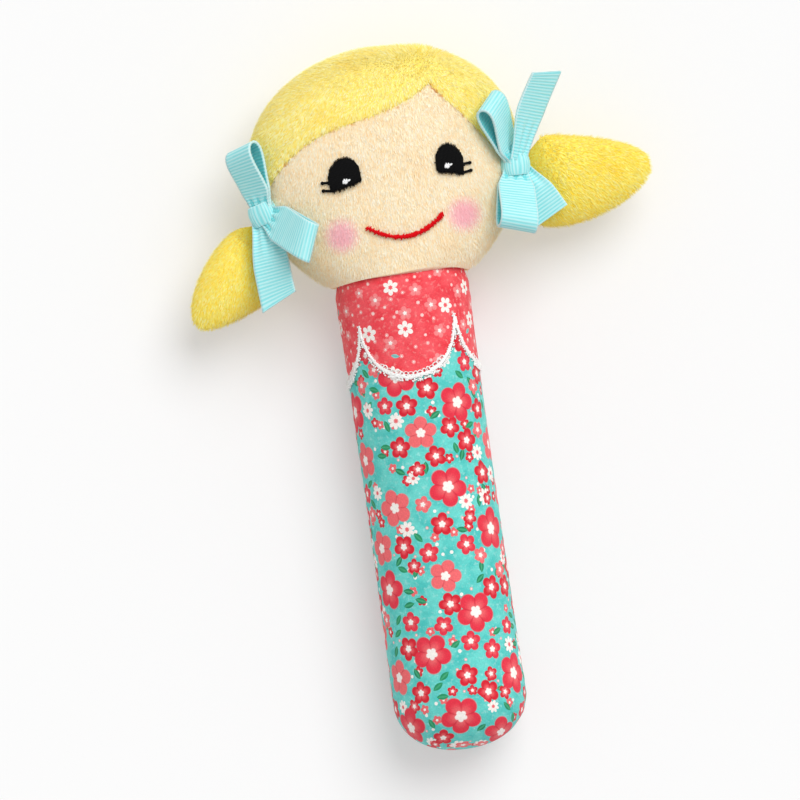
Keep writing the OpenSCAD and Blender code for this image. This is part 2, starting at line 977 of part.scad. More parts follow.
module left_bow_loops() {
    bow_ribbons(left, left_loops);
}

module left_bow_tails() {
    bow_ribbons(left, left_tails);
}

module left_bow_knot() {
    bow_knot(left);
}

module right_bow_loops() {
    bow_ribbons(right, right_loops);
}

module right_bow_tails() {
    bow_ribbons(right, right_tails);
}

module right_bow_knot() {
    bow_knot(right);
}

dress_front();
dress_back();
yoke_front();
yoke_back();
lace_trim();
lower_stuffing();
upper_stuffing();
squeaker_base();
squeaker_reed();
squeaker_bellows();
squeaker_cap();
face_panel();
hair_front();
hair_back();
head_stuffing();
left_eye();
right_eye();
eye_glints();
mouth();
left_bow_loops();
left_bow_tails();
left_bow_knot();
right_bow_loops();
right_bow_tails();
right_bow_knot();
left_pigtail_front();
left_pigtail_back();
left_pigtail_stuffing();
right_pigtail_front();
right_pigtail_back();
right_pigtail_stuffing();
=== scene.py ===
"""Dresses a soft squeaker doll: pile, printed cotton, lace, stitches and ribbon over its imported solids."""

import json
import math
import random
from collections import namedtuple

import bmesh
import bpy
from bpy.props import FloatProperty, FloatVectorProperty, PointerProperty
from bpy.types import Operator, Panel, PropertyGroup
from mathutils import Matrix, Vector, noise


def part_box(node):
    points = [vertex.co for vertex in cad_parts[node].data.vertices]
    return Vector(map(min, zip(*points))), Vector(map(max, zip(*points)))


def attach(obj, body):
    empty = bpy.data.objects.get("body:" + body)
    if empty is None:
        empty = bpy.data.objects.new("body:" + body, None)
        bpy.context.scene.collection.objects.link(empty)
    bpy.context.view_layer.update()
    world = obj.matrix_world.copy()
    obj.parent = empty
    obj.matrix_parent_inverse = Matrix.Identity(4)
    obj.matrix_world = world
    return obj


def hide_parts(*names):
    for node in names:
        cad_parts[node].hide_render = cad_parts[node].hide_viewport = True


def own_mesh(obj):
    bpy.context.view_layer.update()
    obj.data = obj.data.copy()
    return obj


bl_info = {
    "name": "Soft Doll Dressing",
    "version": (1, 0, 0),
    "blender": (4, 5, 0),
    "location": "View3D > Sidebar > Doll",
    "description": "Dresses the packed solids of a soft doll with plush, cotton, lace, stitches and ribbon",
    "category": "Object",
}

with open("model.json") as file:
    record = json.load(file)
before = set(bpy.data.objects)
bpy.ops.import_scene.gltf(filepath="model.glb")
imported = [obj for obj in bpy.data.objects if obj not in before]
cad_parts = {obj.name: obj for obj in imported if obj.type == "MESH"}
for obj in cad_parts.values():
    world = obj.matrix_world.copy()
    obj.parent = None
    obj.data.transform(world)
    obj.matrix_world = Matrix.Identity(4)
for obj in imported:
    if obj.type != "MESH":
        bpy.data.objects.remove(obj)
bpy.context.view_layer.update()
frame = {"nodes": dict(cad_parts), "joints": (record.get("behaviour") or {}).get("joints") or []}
MM = 0.001
MERGE_DIST = 1e-7
UP = Vector((0, 0, 1))

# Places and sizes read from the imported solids
JOINTS = {joint["name"]: joint for joint in frame["joints"]}
NECK = Vector(JOINTS["neck_nod"]["pos_m"])
SEAM_Z = NECK.z
FOOT_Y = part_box("dress_front")[0].y
CUSP_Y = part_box("dress_front")[1].y
END_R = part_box("yoke_front")[1].x
CHIN_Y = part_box("face_panel")[0].y
CROWN_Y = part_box("hair_back")[1].y
HEAD_HALF_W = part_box("hair_back")[1].x
LEVEL_Y = max((v.co for v in frame["nodes"]["hair_back"].data.vertices), key=lambda co: co.x).y
FACE_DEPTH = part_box("face_panel")[1].z - SEAM_Z
TOP_H = CROWN_Y - LEVEL_Y
LOW_H = LEVEL_Y - CHIN_Y

# Forms of the body
WAIST_R = 17.3 * MM
FOOT_H = 14.6 * MM
LOW_Y = FOOT_Y + FOOT_H
FOOT_POWER = 2.2
SCALLOP_R = END_R * math.sin(math.pi / 4)
YOKE_TOP = math.radians(50)
COTTON_T = 0.8 * MM
CLOTH_LUMP = 0.25 * MM
PUCKER_H, PUCKER_PITCH, PUCKER_REACH = 0.1 * MM, 4.6 * MM, 2.5 * MM
BACK_PRINT_SHIFT = 13 * MM

# Lace
SCALLOPS = 4
SCALLOP_STEPS = 90
LACE_PEAK = 2.4 * MM
LACE_LIFT = 0.3 * MM
LACE_THREADS = 5
LACE_WAVE = 1.6 * MM
LUMP_GROUP = 10
LUMPS_TO_A_POINT = 3
LOOPS_FROM = 0.72
LOOP_THREAD_R = 0.16 * MM

# Forms of the head
BACK_DEPTH = 17.3 * MM
SOCKET_R = 18.0 * MM
RIM_IN = math.sqrt(SOCKET_R ** 2 - (CHIN_Y - NECK.y) ** 2)
RIM_OUT = RIM_IN + 0.9 * MM
CHIN_REACH = LOW_H / math.sqrt(1 - (RIM_OUT / HEAD_HALF_W) ** 2)
CROWN_POWER = 2.2
LEFT_CROWN_POWER = 1.98
CHIN_ARCH = 1.6 * MM
RIM_LATITUDE = math.radians(-50)
PLUSH_T = 0.9 * MM
PILE_SINK = 0.4
BACK_DENSITY = 0.6
STRAND_FLATNESS = 0.24
SEAM_TUCK = 0.3 * MM

# Hairline: the temples, the parting's peak and the handles that bend the line between them
PEAK = Vector((14.5, 17.2)) * MM
LEFT_TEMPLE = Vector((-HEAD_HALF_W, -12 * MM))
RIGHT_TEMPLE = Vector((HEAD_HALF_W, -14 * MM))
LEFT_HANDLES = (Vector((17, 29)) * MM, Vector((-18, -13)) * MM)
RIGHT_HANDLES = (Vector((4.7, -6)) * MM, Vector((-8.7, 17)) * MM)

# Embroidery
FACE_X = 3.3 * MM
EYES = {"left": (-1, -10.9 * MM, 9.0 * MM), "right": (1, 17.1 * MM, 7.6 * MM)}
EYE_DROP = 4.75 * MM
EYE_H = 8.3 * MM
EYE_LOW = 0.33
EYE_SLOPE = math.radians(-13)
LASHES = ((0.5 * MM, 0.05), (2.7 * MM, 0.16))
GLINTS = ((-10.8 * MM, -5.55 * MM), (16.4 * MM, -5.15 * MM))
GLINT_STITCHES = (
    (-0.5, -0.1, 80, 0.5), (-0.12, 0.0, 100, 0.75), (0.3, 0.0, 80, 0.7),
    (0.0, 0.1, 10, 0.75), (0.0, -0.35, 0, 0.6), (0.95, 0.15, 25, 0.45),
)
MOUTH_W, MOUTH_DROP, SMILE_SAG = 20.3 * MM, 18 * MM, 4.1 * MM
MOUTH_SLOPE = math.radians(2.3)
MOUTH_SLANT = math.radians(62)
CHEEKS = ((-13.8 * MM, -19.6 * MM), (19.1 * MM, -18.5 * MM))
BLUSH_INNER, BLUSH_OUTER = 1.4, 5.6

# Pigtails: reach, direction of the tip and half width
PIGTAILS = {
    "left": (28.8 * MM, math.radians(218), 10.6 * MM),
    "right": (33.8 * MM, math.radians(1), 12.6 * MM),
}
ROOT_HALF_W = 8 * MM
ROOT_HALF_T = 1.04 * MM
ROOT_LATITUDE = 72
PIGTAIL_HALF_T = 7.5 * MM

# Bows: a ribbon's angles are in degrees, its lengths in millimetres, and a tail has no opening
Ribbon = namedtuple("Ribbon", "direction reach opening roll layer pitch slant gather hump")
RIBBON_W = 10 * MM
RIBBON_T = 0.45 * MM
RIB_STEPS = 4
RIBBON_COLUMNS = 14
KNOT_RIBS = 26
LAYER_H = 1.8 * MM
KNOT_SIZE = Vector((5.6, 8.0, 6.4)) * MM
KNOT_LEAN = math.radians(24)
BOWS = {
    "left": (105, -1, {
        "up_loop": Ribbon(101, 18.6, 2.1, -47, 0, 8, -0.9, 7.2, 0),
        "cheek_loop": Ribbon(-40, 21.2, 2.0, 10, 0, 45.5, -1.5, 5.8, 0),
        "tail": Ribbon(-88, 24.6, 0, 16, -0.3, 14.3, -1.9, 7.0, 1.2),
    }),
    "right": (88, 1, {
        "up_loop": Ribbon(105, 20, 2.1, 57, 0, 25.3, 0, 6.0, 0),
        "low_loop": Ribbon(-96, 18.6, 2.6, -16, 0, 24.6, 0.5, 6.8, 0),
        "up_tail": Ribbon(63, 26.2, 0, 46, 1, 10, -0.95, 5.6, -1),
        "low_tail": Ribbon(-62, 17, 0, 0, -1, 8, 0, 6.2, 1.2),
    }),
}

# Filling and squeaker
HEAD_FILL_INSET, PIGTAIL_FILL_INSET, BODY_FILL_INSET = 3.4 * MM, 2.6 * MM, 1.4 * MM
FILL_REST_Z = 1.2 * MM
FLUFF = 0.5 * MM
PLEATS = 4
PLEAT_DEPTH = 3 * MM
BELLOWS_T = 0.7 * MM

# Weave and twist, in millimetres
WEAVE_PITCH = 0.42
PLY_PITCH = 0.45

# Stage
FLOOR_HALF = 6
KEY_WAY = Vector((0.42, 0.55, 1.0)).normalized()
KEY_SOFTNESS = math.radians(40)
LIGHT_LEVEL = 1.05
CAMERA_X = -4.6 * MM
SENSOR = 36


def srgb(red, green, blue):
    """Gives a colour of 0 to 255 as the linear values that shaders take."""
    def linear(value):
        """One channel of it."""
        value /= 255
        return value / 12.92 if value <= 0.04045 else ((value + 0.055) / 1.055) ** 2.4
    return (linear(red), linear(green), linear(blue))


def colour(name, red, green, blue):
    """A colour property with its default."""
    return FloatVectorProperty(
        name=name, description=f"{name} of the doll", subtype="COLOR", size=3, min=0, max=1,
        default=srgb(red, green, blue))


def length(name, description, millimetres):
    """A length property with its default in millimetres."""
    return FloatProperty(
        name=name, description=description, default=millimetres * MM, min=0, subtype="DISTANCE", unit="LENGTH")


class DollPile(PropertyGroup):
    """Sizes of the plush."""

    hair_length: length("Hair Pile", "Length of the pile of the hair", 1.15)
    face_length: length("Face Pile", "Length of the pile of the face", 1.0)
    strand_width: length("Strand Width", "Width of a strand of pile at its root", 0.36)
    hair_density: FloatProperty(
        name="Hair Density", description="Strands to a square millimetre of hair", default=5, min=1, max=20)
    face_density: FloatProperty(
        name="Face Density", description="Strands to a square millimetre of face", default=6, min=1, max=20)
    lean: FloatProperty(name="Lean", description="How far the pile lies over", default=1.9, min=0, max=4)


class DollTrim(PropertyGroup):
    """Sizes of the ribbon, lace and stitches."""

    rib_pitch: length("Rib Pitch", "Distance between the ribs of the ribbon", 0.86)
    rib_height: length("Rib Height", "Height of the ribs of the ribbon", 0.12)
    lace_pitch: length("Lace Pitch", "Distance between the loops of the lace", 1.3)
    lace_loop: length("Lace Loop", "Radius of a loop of the lace", 0.62)
    eye_pitch: length("Eye Stitch Pitch", "Distance between the stitches of an eye", 0.34)
    mouth_pitch: length("Mouth Stitch Pitch", "Distance between the stitches of the mouth", 0.42)


class DollColours(PropertyGroup):
    """Colours of the doll."""

    # Each plush runs from its tip colour to a root colour that is darkened as painted shade between the strands.
    hair_tip: colour("Hair Tip", 255, 251, 168)
    hair_root: colour("Hair Root", 254, 222, 76)
    pigtail_tip: colour("Pigtail Tip", 255, 247, 130)
    pigtail_root: colour("Pigtail Root", 255, 219, 48)
    face_tip: colour("Face Tip", 255, 247, 221)
    face_root: colour("Face Root", 253, 222, 171)
    cheek: colour("Cheek", 255, 184, 202)
    dress_ground: colour("Dress Ground", 112, 220, 211)
    dress_shade: colour("Dress Shade", 78, 200, 194)
    yoke_ground: colour("Yoke Ground", 252, 94, 102)
    yoke_shade: colour("Yoke Shade", 242, 64, 76)
    bloom_red: colour("Bloom Red", 236, 56, 76)
    bloom_pink: colour("Bloom Pink", 252, 150, 152)
    bloom_coral: colour("Bloom Coral", 248, 112, 116)
    bloom_white: colour("Bloom White", 255, 250, 244)
    leaf: colour("Leaf", 44, 152, 104)
    ribbon: colour("Ribbon", 152, 231, 233)
    # The rib colour is a painted highlight on the crests of the ribs, and also the colour of pale flecks of
    # thread.
    ribbon_rib: colour("Ribbon Rib", 222, 250, 250)
    lace: colour("Lace", 252, 252, 250)
    black_thread: colour("Black Thread", 5, 5, 6)
    white_thread: colour("White Thread", 252, 252, 252)
    red_thread: colour("Red Thread", 230, 6, 22)
    fibre: colour("Fibre", 245, 243, 236)
    plastic: colour("Plastic", 232, 238, 240)
    floor: colour("Floor", 247, 247, 247)


class DollStage(PropertyGroup):
    """The camera and the light."""

    distance: length("Camera Distance", "Height of the camera over the seam", 4000)
    view_width: length("View Width", "Width of the view at the height of the seam", 212)
    turn: FloatProperty(
        name="Turn", description="Turn of the doll in the view", default=math.radians(-8.05), subtype="ANGLE",
        unit="ROTATION")
    sky: FloatProperty(
        name="Sky", description="Share of the light that comes from all round", default=0.56, min=0, max=1,
        subtype="FACTOR")
    shadow: FloatProperty(
        name="Shadow", description="Depth of the doll's shadow on the floor", default=0.7, min=0, max=1,
        subtype="FACTOR")


def lerp(a, b, t):
    """The value a share t of the way from a to b."""
    return a + (b - a) * t


def steps(count):
    """Shares from 0 to 1 in even steps."""
    return [i / count for i in range(count + 1)]


def ease(t):
    """A share of 0 to 1 with soft ends."""
    t = min(max(t, 0), 1)
    return t * t * (3 - 2 * t)


def rounded(share, power):
    """The rest of a rounded outline at a share of its height."""
    return max(0.0, 1 - abs(share) ** power) ** (1 / power)


def bezier(p, t):
    """A point on the curve of four points."""
    s = 1 - t
    return s ** 3 * p[0] + 3 * s * s * t * p[1] + 3 * s * t * t * p[2] + t ** 3 * p[3]


# Material nodes

class Nodes:
    """Short calls that add nodes to one tree and link them."""

    def __init__(self, tree):
        """Takes the tree that the calls add to."""
        self.tree = tree

    def add(self, kind, inputs=None, **settings):
        """Adds a node, sets its settings and feeds its inputs."""
        node = self.tree.nodes.new(kind)
        for key, value in settings.items():
            setattr(node, key, value)
        for key, value in (inputs or {}).items():
            self.feed(node.inputs[key], value)
        return node

    def feed(self, socket, value):
        """Links a socket to another, or gives it a value."""
        if isinstance(value, bpy.types.NodeSocket):
            self.tree.links.new(value, socket)
        else:
            socket.default_value = value

    def math(self, operation, a, b=0.0, c=0.0):
        """The result of a sum on numbers."""
        return self.add("ShaderNodeMath", {0: a, 1: b, 2: c}, operation=operation).outputs[0]

    def vector(self, operation, a, b=(0, 0, 0)):
        """The result of a sum on vectors."""
        node = self.add("ShaderNodeVectorMath", {0: a, 1: b}, operation=operation)
        return node.outputs["Value" if operation in ("LENGTH", "DISTANCE", "DOT_PRODUCT") else "Vector"]

    def scaled(self, vector, scale):
        """A vector times a number."""
        node = self.add("ShaderNodeVectorMath", {0: vector, "Scale": scale}, operation="SCALE")
        return node.outputs["Vector"]

    def ramp(self, value, low, high, start=0.0, end=1.0):
        """A value eased from start to end between low and high."""
        node = self.add(
            "ShaderNodeMapRange", {0: value, 1: low, 2: high, 3: start, 4: end}, interpolation_type="SMOOTHSTEP")
        return node.outputs[0]

    def mix(self, share, a, b, blend="MIX"):
        """Two colours mixed."""
        a, b = ((*c, 1) if isinstance(c, tuple) and len(c) == 3 else c for c in (a, b))
        node = self.add("ShaderNodeMix", {0: share, 6: a, 7: b}, data_type="RGBA", blend_type=blend)
        return node.outputs[2]

    def noise(self, vector, scale, detail=2.0):
        """Noise of 0 to 1."""
        return self.add("ShaderNodeTexNoise", {"Vector": vector, "Scale": scale, "Detail": detail}).outputs[0]

    def attribute(self, name, output="Fac"):
        """A value that the mesh carries."""
        return self.add("ShaderNodeAttribute", attribute_name=name).outputs[output]

    def carried(self, name, kind):
        """A value that the mesh carries, in geometry nodes."""
        return self.add("GeometryNodeInputNamedAttribute", {"Name": name}, data_type=kind).outputs[0]

    def store(self, geometry, name, value):
        """The geometry with a number kept on each of its points."""
        node = self.add(
            "GeometryNodeStoreNamedAttribute", {"Geometry": geometry, "Name": name, "Value": value},
            data_type="FLOAT", domain="POINT")
        return node.outputs[0]

    def place(self):
        """The place on the piece in millimetres."""
        return self.scaled(self.add("ShaderNodeTexCoord").outputs["Object"], 1 / MM)

    def bump(self, height, distance):
        """A surface normal from a height of 0 to 1 and its depth."""
        node = self.add("ShaderNodeBump", {"Height": height, "Distance": distance, "Strength": 1.0})
        return node.outputs["Normal"]


def new_material(name, roughness, sheen=0.0, specular=0.3):
    """A material with its shader and the calls that add to it."""
    material = bpy.data.materials.new(name)
    material.use_nodes = True
    shader = material.node_tree.nodes["Principled BSDF"]
    shader.inputs["Roughness"].default_value = roughness
    shader.inputs["Sheen Weight"].default_value = sheen
    shader.inputs["Sheen Roughness"].default_value = 0.4
    shader.inputs["Specular IOR Level"].default_value = specular
    return material, Nodes(material.node_tree), shader


def colours():
    """The colours as plain tuples."""
    values = bpy.context.scene.doll_colours
    return {key: tuple(getattr(values, key)) for key in DollColours.__annotations__}


def plush_material(name, root, tip, pale, cheeks=()):
    """Short pile, unevenly brushed, with painted shade towards its roots, between its strands, on some strands
    and in pits at the hairline seam, and a painted highlight on other strands.
    """
    material, n, shader = new_material(name, 0.9, 0.25, 0.15)
    place = n.place()
    strand = n.attribute("strand")
    streak = n.noise(n.attribute("fleece", "Vector"), 2.4, 3.0)
    loose = n.math("GREATER_THAN", strand, 0.001)
    # Painted shade: each strand runs from the darker root colour up to the tip colour, and the backing between
    # the strands takes streaks between the two.
    tone = n.add("ShaderNodeMix", {0: loose, 2: n.ramp(streak, 0.3, 0.68), 3: n.attribute("tip")}).outputs[0]
    base = n.mix(tone, root, tip)
    # Painted highlight: random strands are paled towards the pale colour.
    base = n.mix(n.ramp(strand, 0.5, 0.9, 0, 0.7), base, pale)
    # Painted shade: other random strands are darkened towards the root colour.
    base = n.mix(n.math("MULTIPLY", loose, n.ramp(strand, 0.35, 0.05, 0, 0.6)), base, root)
    base = n.mix(n.ramp(n.noise(place, 0.14), 0.5, 0.8, 0, 0.35), base, root)
    seam = n.attribute("seam")
    # Painted shade in pits along the hairline seam.
    seam_pit_shade = n.math("MULTIPLY", n.ramp(n.noise(place, 0.75), 0.5, 0.6, 0.0, 0.9), n.ramp(seam, 0.45, 1.0))
    base = n.mix(seam_pit_shade, base, srgb(222, 156, 62))
    for x, level, spot in cheeks:
        flat = n.vector("MULTIPLY", place, (1, 1, 0))
        away = n.vector("DISTANCE", flat, (x / MM, (LEVEL_Y + level) / MM, 0))
        ragged = n.math("ADD", away, n.math("MULTIPLY", n.math("SUBTRACT", strand, 0.5), 1.6))
        base = n.mix(n.ramp(ragged, BLUSH_OUTER, BLUSH_INNER, 0, 0.8), base, spot)
    n.feed(shader.inputs["Base Color"], base)
    n.feed(shader.inputs["Normal"], n.bump(streak, 0.12 * MM))
    return material


def bloom_cells(n, cloth, spec):
    """The nearest bloom of a layer: the cloth's place from its middle, its middle and three random values."""
    at = {"Location": (*spec["shift"], 0), "Rotation": (0, 0, spec["turn"]), "Scale": (spec["spacing"],) * 3}
    cell = n.add("ShaderNodeMapping", {"Vector": cloth, **at}, vector_type="TEXTURE").outputs[0]
    layer = n.add(
        "ShaderNodeTexVoronoi", {"Vector": cell, "Scale": 1.0, "Randomness": spec["scatter"]},
        voronoi_dimensions="2D").outputs
    local = n.scaled(n.vector("SUBTRACT", cell, layer["Position"]), spec["spacing"])
    middle = n.add("ShaderNodeMapping", {"Vector": layer["Position"], **at}, vector_type="POINT").outputs[0]
    chance = n.add("ShaderNodeSeparateColor", {0: layer["Color"]})
    return local, middle, chance.outputs


def bloom_mask(n, cloth, spec, larger):
    """Where a layer of blooms shows, how far out in its bloom each place is, its veins and its own chance."""
    local, middle, chance = bloom_cells(n, cloth, spec)
    axis = n.add("ShaderNodeSeparateXYZ", {0: local}).outputs
    reach = n.vector("LENGTH", local)
    angle = n.math("ADD", n.math("ARCTAN2", axis[1], axis[0]), n.math("MULTIPLY", chance[1], 2 * math.pi))
    if spec["petals"]:
        wave = n.math("COSINE", n.math("MULTIPLY", angle, spec["petals"] / 2))
        lobe = n.math("POWER", n.math("ABSOLUTE", wave), 0.7)
        edge = n.math("MULTIPLY_ADD", lobe, spec["radius"] * (1 - spec["notch"]), spec["radius"] * spec["notch"])
        edge = n.math("MULTIPLY", edge, n.math("MULTIPLY_ADD", chance[2], 0.3, 0.85))
        out = n.math("DIVIDE", reach, edge)
    else:
        along = n.math("MULTIPLY", reach, n.math("COSINE", angle))
        aside = n.math("ABSOLUTE", n.math("MULTIPLY", reach, n.math("SINE", angle)))
        taper = n.math("SUBTRACT", 1.0, n.math("POWER", n.math("DIVIDE", along, spec["radius"]), 2.0))
        half = n.math("MULTIPLY", taper, spec["radius"] * spec["notch"])
        out = n.math("DIVIDE", aside, n.math("MAXIMUM", half, 0.001))
    shown = n.math("MULTIPLY", n.ramp(out, 1.05, 0.95), n.math("LESS_THAN", chance[0], spec["share"]))
    for other in larger:
        near, _, other_chance = bloom_cells(n, middle, other)
        blocked = n.math("LESS_THAN", n.vector("LENGTH", near), 0.95 * other["radius"] + 0.66 * spec["radius"])
        blocked = n.math("MULTIPLY", blocked, n.math("LESS_THAN", other_chance[0], other["share"]))
        shown = n.math("MULTIPLY", shown, n.math("SUBTRACT", 1.0, blocked))
    vein = n.ramp(lobe, 0.1, 0.45, 0.5, 0.0) if spec["petals"] else 0.0
    return shown, out, vein, chance


def print_layer(
        spacing, radius, petals, notch, share, inner, outer, core, other=None, turn=0.0, shift=(0, 0),
        scatter=0.55):
    """One kind of bloom in a print, in millimetres, with the colours of its middle, petals and core."""
    return {
        "spacing": spacing, "radius": radius, "petals": petals, "notch": notch, "share": share, "inner": inner,
        "outer": outer, "core": core, "other": other or outer, "turn": turn, "shift": shift, "scatter": scatter,
    }


def print_material(name, ground, shade, worn, layers):
    """Plain-weave cotton with a mottled, washed ground and scattered blooms."""
    material, n, shader = new_material(name, 0.85, 0.15, 0.2)
    cloth = n.attribute("cloth", "Vector")
    mottle = n.noise(cloth, 0.22, 3.0)
    base = n.mix(n.ramp(mottle, 0.35, 0.7), ground, shade)
    base = n.mix(n.ramp(n.noise(cloth, 0.9, 2.0), 0.52, 0.75, 0, 0.35), base, worn)
    for i in reversed(range(len(layers))):
        spec = layers[i]
        shown, out, vein, chance = bloom_mask(n, cloth, spec, layers[:min(i, 2)])
        petal = n.mix(n.math("LESS_THAN", chance[2], 0.5), spec["outer"], spec["other"])
        bloom = n.mix(n.ramp(out, 0.2, 0.8), spec["inner"], petal)
        bloom = n.mix(vein, bloom, tuple(0.72 * v for v in spec["outer"]))
        bloom = n.mix(n.ramp(out, 0.34, 0.26), bloom, spec["core"])
        base = n.mix(shown, base, bloom)
    thread = n.noise(n.vector("MULTIPLY", cloth, (1, 6, 1)), 1.1, 2.0)
    cross = n.noise(n.vector("MULTIPLY", cloth, (6, 1, 1)), 1.1, 2.0)
    slub = n.ramp(n.math("MULTIPLY", thread, cross), 0.18, 0.36, 0.9, 1.06)
    base = n.mix(1.0, base, n.add("ShaderNodeCombineColor", {0: slub, 1: slub, 2: slub}).outputs[0], "MULTIPLY")
    n.feed(shader.inputs["Base Color"], base)
    axis = n.add("ShaderNodeSeparateXYZ", {0: cloth}).outputs
    warp, weft = (n.math("SINE", n.math("MULTIPLY", way, 2 * math.pi / WEAVE_PITCH)) for way in axis[:2])
    weave = n.math("MULTIPLY_ADD", n.math("MULTIPLY", warp, weft), 0.25, 0.5)
    height = n.math("ADD", n.math("MULTIPLY", weave, 0.35), n.noise(cloth, 0.35, 2.0))
    n.feed(shader.inputs["Normal"], n.bump(height, 0.22 * MM))
    return material


def dress_material(c):
    """Teal cotton with red, coral, pink and white blooms and leaves."""
    white, pink, red, coral = c["bloom_white"], c["bloom_pink"], c["bloom_red"], c["bloom_coral"]
    dark, rose = srgb(222, 36, 54), srgb(246, 112, 116)
    leaf, leaf_rib, leaf_dark = c["leaf"], srgb(70, 172, 124), srgb(38, 136, 96)
    return print_material("teal_print", c["dress_ground"], c["dress_shade"], srgb(208, 244, 240), [
        print_layer(16.4, 5.1, 5, 0.66, 0.95, rose, red, white, coral, turn=0.5, shift=(7, 4)),
        print_layer(8.6, 2.9, 5, 0.64, 0.95, rose, dark, white, red, turn=1.1, shift=(2, 9)),
        print_layer(6.7, 2.2, 5, 0.6, 0.95, pink, coral, white, dark, turn=0.8, shift=(4, 3)),
        print_layer(6.4, 2.1, 8, 0.55, 0.9, white, white, rose, turn=0.2, shift=(5, 1)),
        print_layer(4.4, 1.7, 0, 0.46, 0.9, leaf, leaf, leaf_rib, leaf_dark, turn=0.9, scatter=0.75),
        print_layer(4.5, 1.4, 5, 0.62, 0.85, rose, dark, white, coral, turn=0.6, scatter=0.7),
        print_layer(3.1, 0.45, 6, 0.9, 0.45, white, white, white, pink, turn=0.3, scatter=0.8),
    ])


def yoke_material(c):
    """Coral red cotton with small white and pink blooms and dots."""
    white, pink, leaf = c["bloom_white"], c["bloom_pink"], srgb(120, 190, 186)
    rose, petal, blush, dot, pale = (
        srgb(254, 158, 158), srgb(252, 138, 140), srgb(255, 186, 182), srgb(255, 166, 166), srgb(255, 206, 202))
    return print_material("red_print", c["yoke_ground"], c["yoke_shade"], srgb(255, 196, 190), [
        print_layer(10.4, 2.0, 6, 0.5, 0.7, white, white, c["yoke_ground"], turn=0.4, shift=(3, 2)),
        print_layer(7.0, 1.7, 5, 0.58, 0.75, rose, petal, white, pink, turn=1.0, shift=(1, 5)),
        print_layer(6.8, 1.2, 0, 0.45, 0.35, leaf, srgb(150, 208, 204), leaf, turn=0.7),
        print_layer(3.4, 0.5, 6, 0.9, 0.7, blush, dot, white, pale, scatter=0.8),
    ])


def ribbon_material(c):
    """Ribbed ribbon: a painted highlight on the crests of its ribs, painted shade in the grooves between them and
    on the inside of its loops, and pale along its woven edges.
    """
    material, n, shader = new_material("ribbed_ribbon", 0.55, 0.2, 0.35)
    pitch = bpy.context.scene.doll_trim.rib_pitch / MM
    along, across = n.attribute("along"), n.attribute("across")
    rib = n.math("MULTIPLY_ADD", n.math("COSINE", n.math("MULTIPLY", along, 2 * math.pi / pitch)), 0.5, 0.5)
    # Painted highlight on the crests of the ribs.
    base = n.mix(n.ramp(rib, 0.45, 1.0, 0, 0.5), c["ribbon"], c["ribbon_rib"])
    # Painted shade in the grooves between the ribs.
    base = n.mix(n.ramp(rib, 0.3, 0.0, 0, 0.3), base, srgb(96, 208, 215))
    place = n.add("ShaderNodeCombineXYZ", {0: along, 1: n.math("MULTIPLY", across, 0.15)}).outputs[0]
    thread = n.noise(place, 5.0)
    base = n.mix(n.ramp(thread, 0.45, 0.75, 0, 0.35), base, c["ribbon_rib"])
    # Painted shade on the inside of the loops.
    base = n.mix(n.math("MULTIPLY", n.attribute("inner"), 0.6), base, srgb(70, 208, 214))
    base = n.mix(n.ramp(n.math("ABSOLUTE", across), 0.92, 0.98, 0, 0.6), base, srgb(232, 250, 250))
    n.feed(shader.inputs["Base Color"], base)
    n.feed(shader.inputs["Normal"], n.bump(thread, 0.05 * MM))
    return material


def thread_material(name, thread, rough=0.45, sheen=0.0, specular=0.1):
    """Twisted embroidery thread."""
    material, n, shader = new_material(name, rough, sheen, specular)
    ply = n.math("SINE", n.math("MULTIPLY", n.attribute("along"), 2 * math.pi / PLY_PITCH))
    tint = n.ramp(n.noise(n.place(), 3.0), 0.4, 0.8, 0, 0.25)
    n.feed(shader.inputs["Base Color"], n.mix(tint, thread, tuple(v * 0.6 for v in thread)))
    n.feed(shader.inputs["Normal"], n.bump(n.math("MULTIPLY_ADD", ply, 0.5, 0.5), 0.05 * MM))
    return material


def fibre_material(c):
    """Loose fibre fill, fluffy and a little shaded in its hollows."""
    material, n, shader = new_material("fibre_fluff", 0.95, 0.3, 0.1)
    place = n.place()
    drift = n.scaled(n.add("ShaderNodeTexNoise", {"Vector": place, "Scale": 0.4}).outputs[1], 4.0)
    fluff = n.noise(n.vector("ADD", place, drift), 1.4, 5.0)
    n.feed(shader.inputs["Base Color"], n.mix(n.ramp(fluff, 0.3, 0.7), srgb(214, 210, 200), c["fibre"]))
    n.feed(shader.inputs["Normal"], n.bump(fluff, 1.2 * MM))
    return material


def plastic_material(c):
    """Moulded plastic with a faint grain."""
    material, n, shader = new_material("moulded_plastic", 0.4, 0.0, 0.5)
    place = n.place()
    grain, cloud = n.noise(place, 4.0, 3.0), n.ramp(n.noise(place, 0.3), 0.3, 0.7)
    n.feed(shader.inputs["Base Color"], n.mix(cloud, c["plastic"], srgb(220, 229, 232)))
    n.feed(shader.inputs["Roughness"], n.ramp(grain, 0.3, 0.7, 0.32, 0.5))
    n.feed(shader.inputs["Normal"], n.bump(grain, 0.03 * MM))
    return material


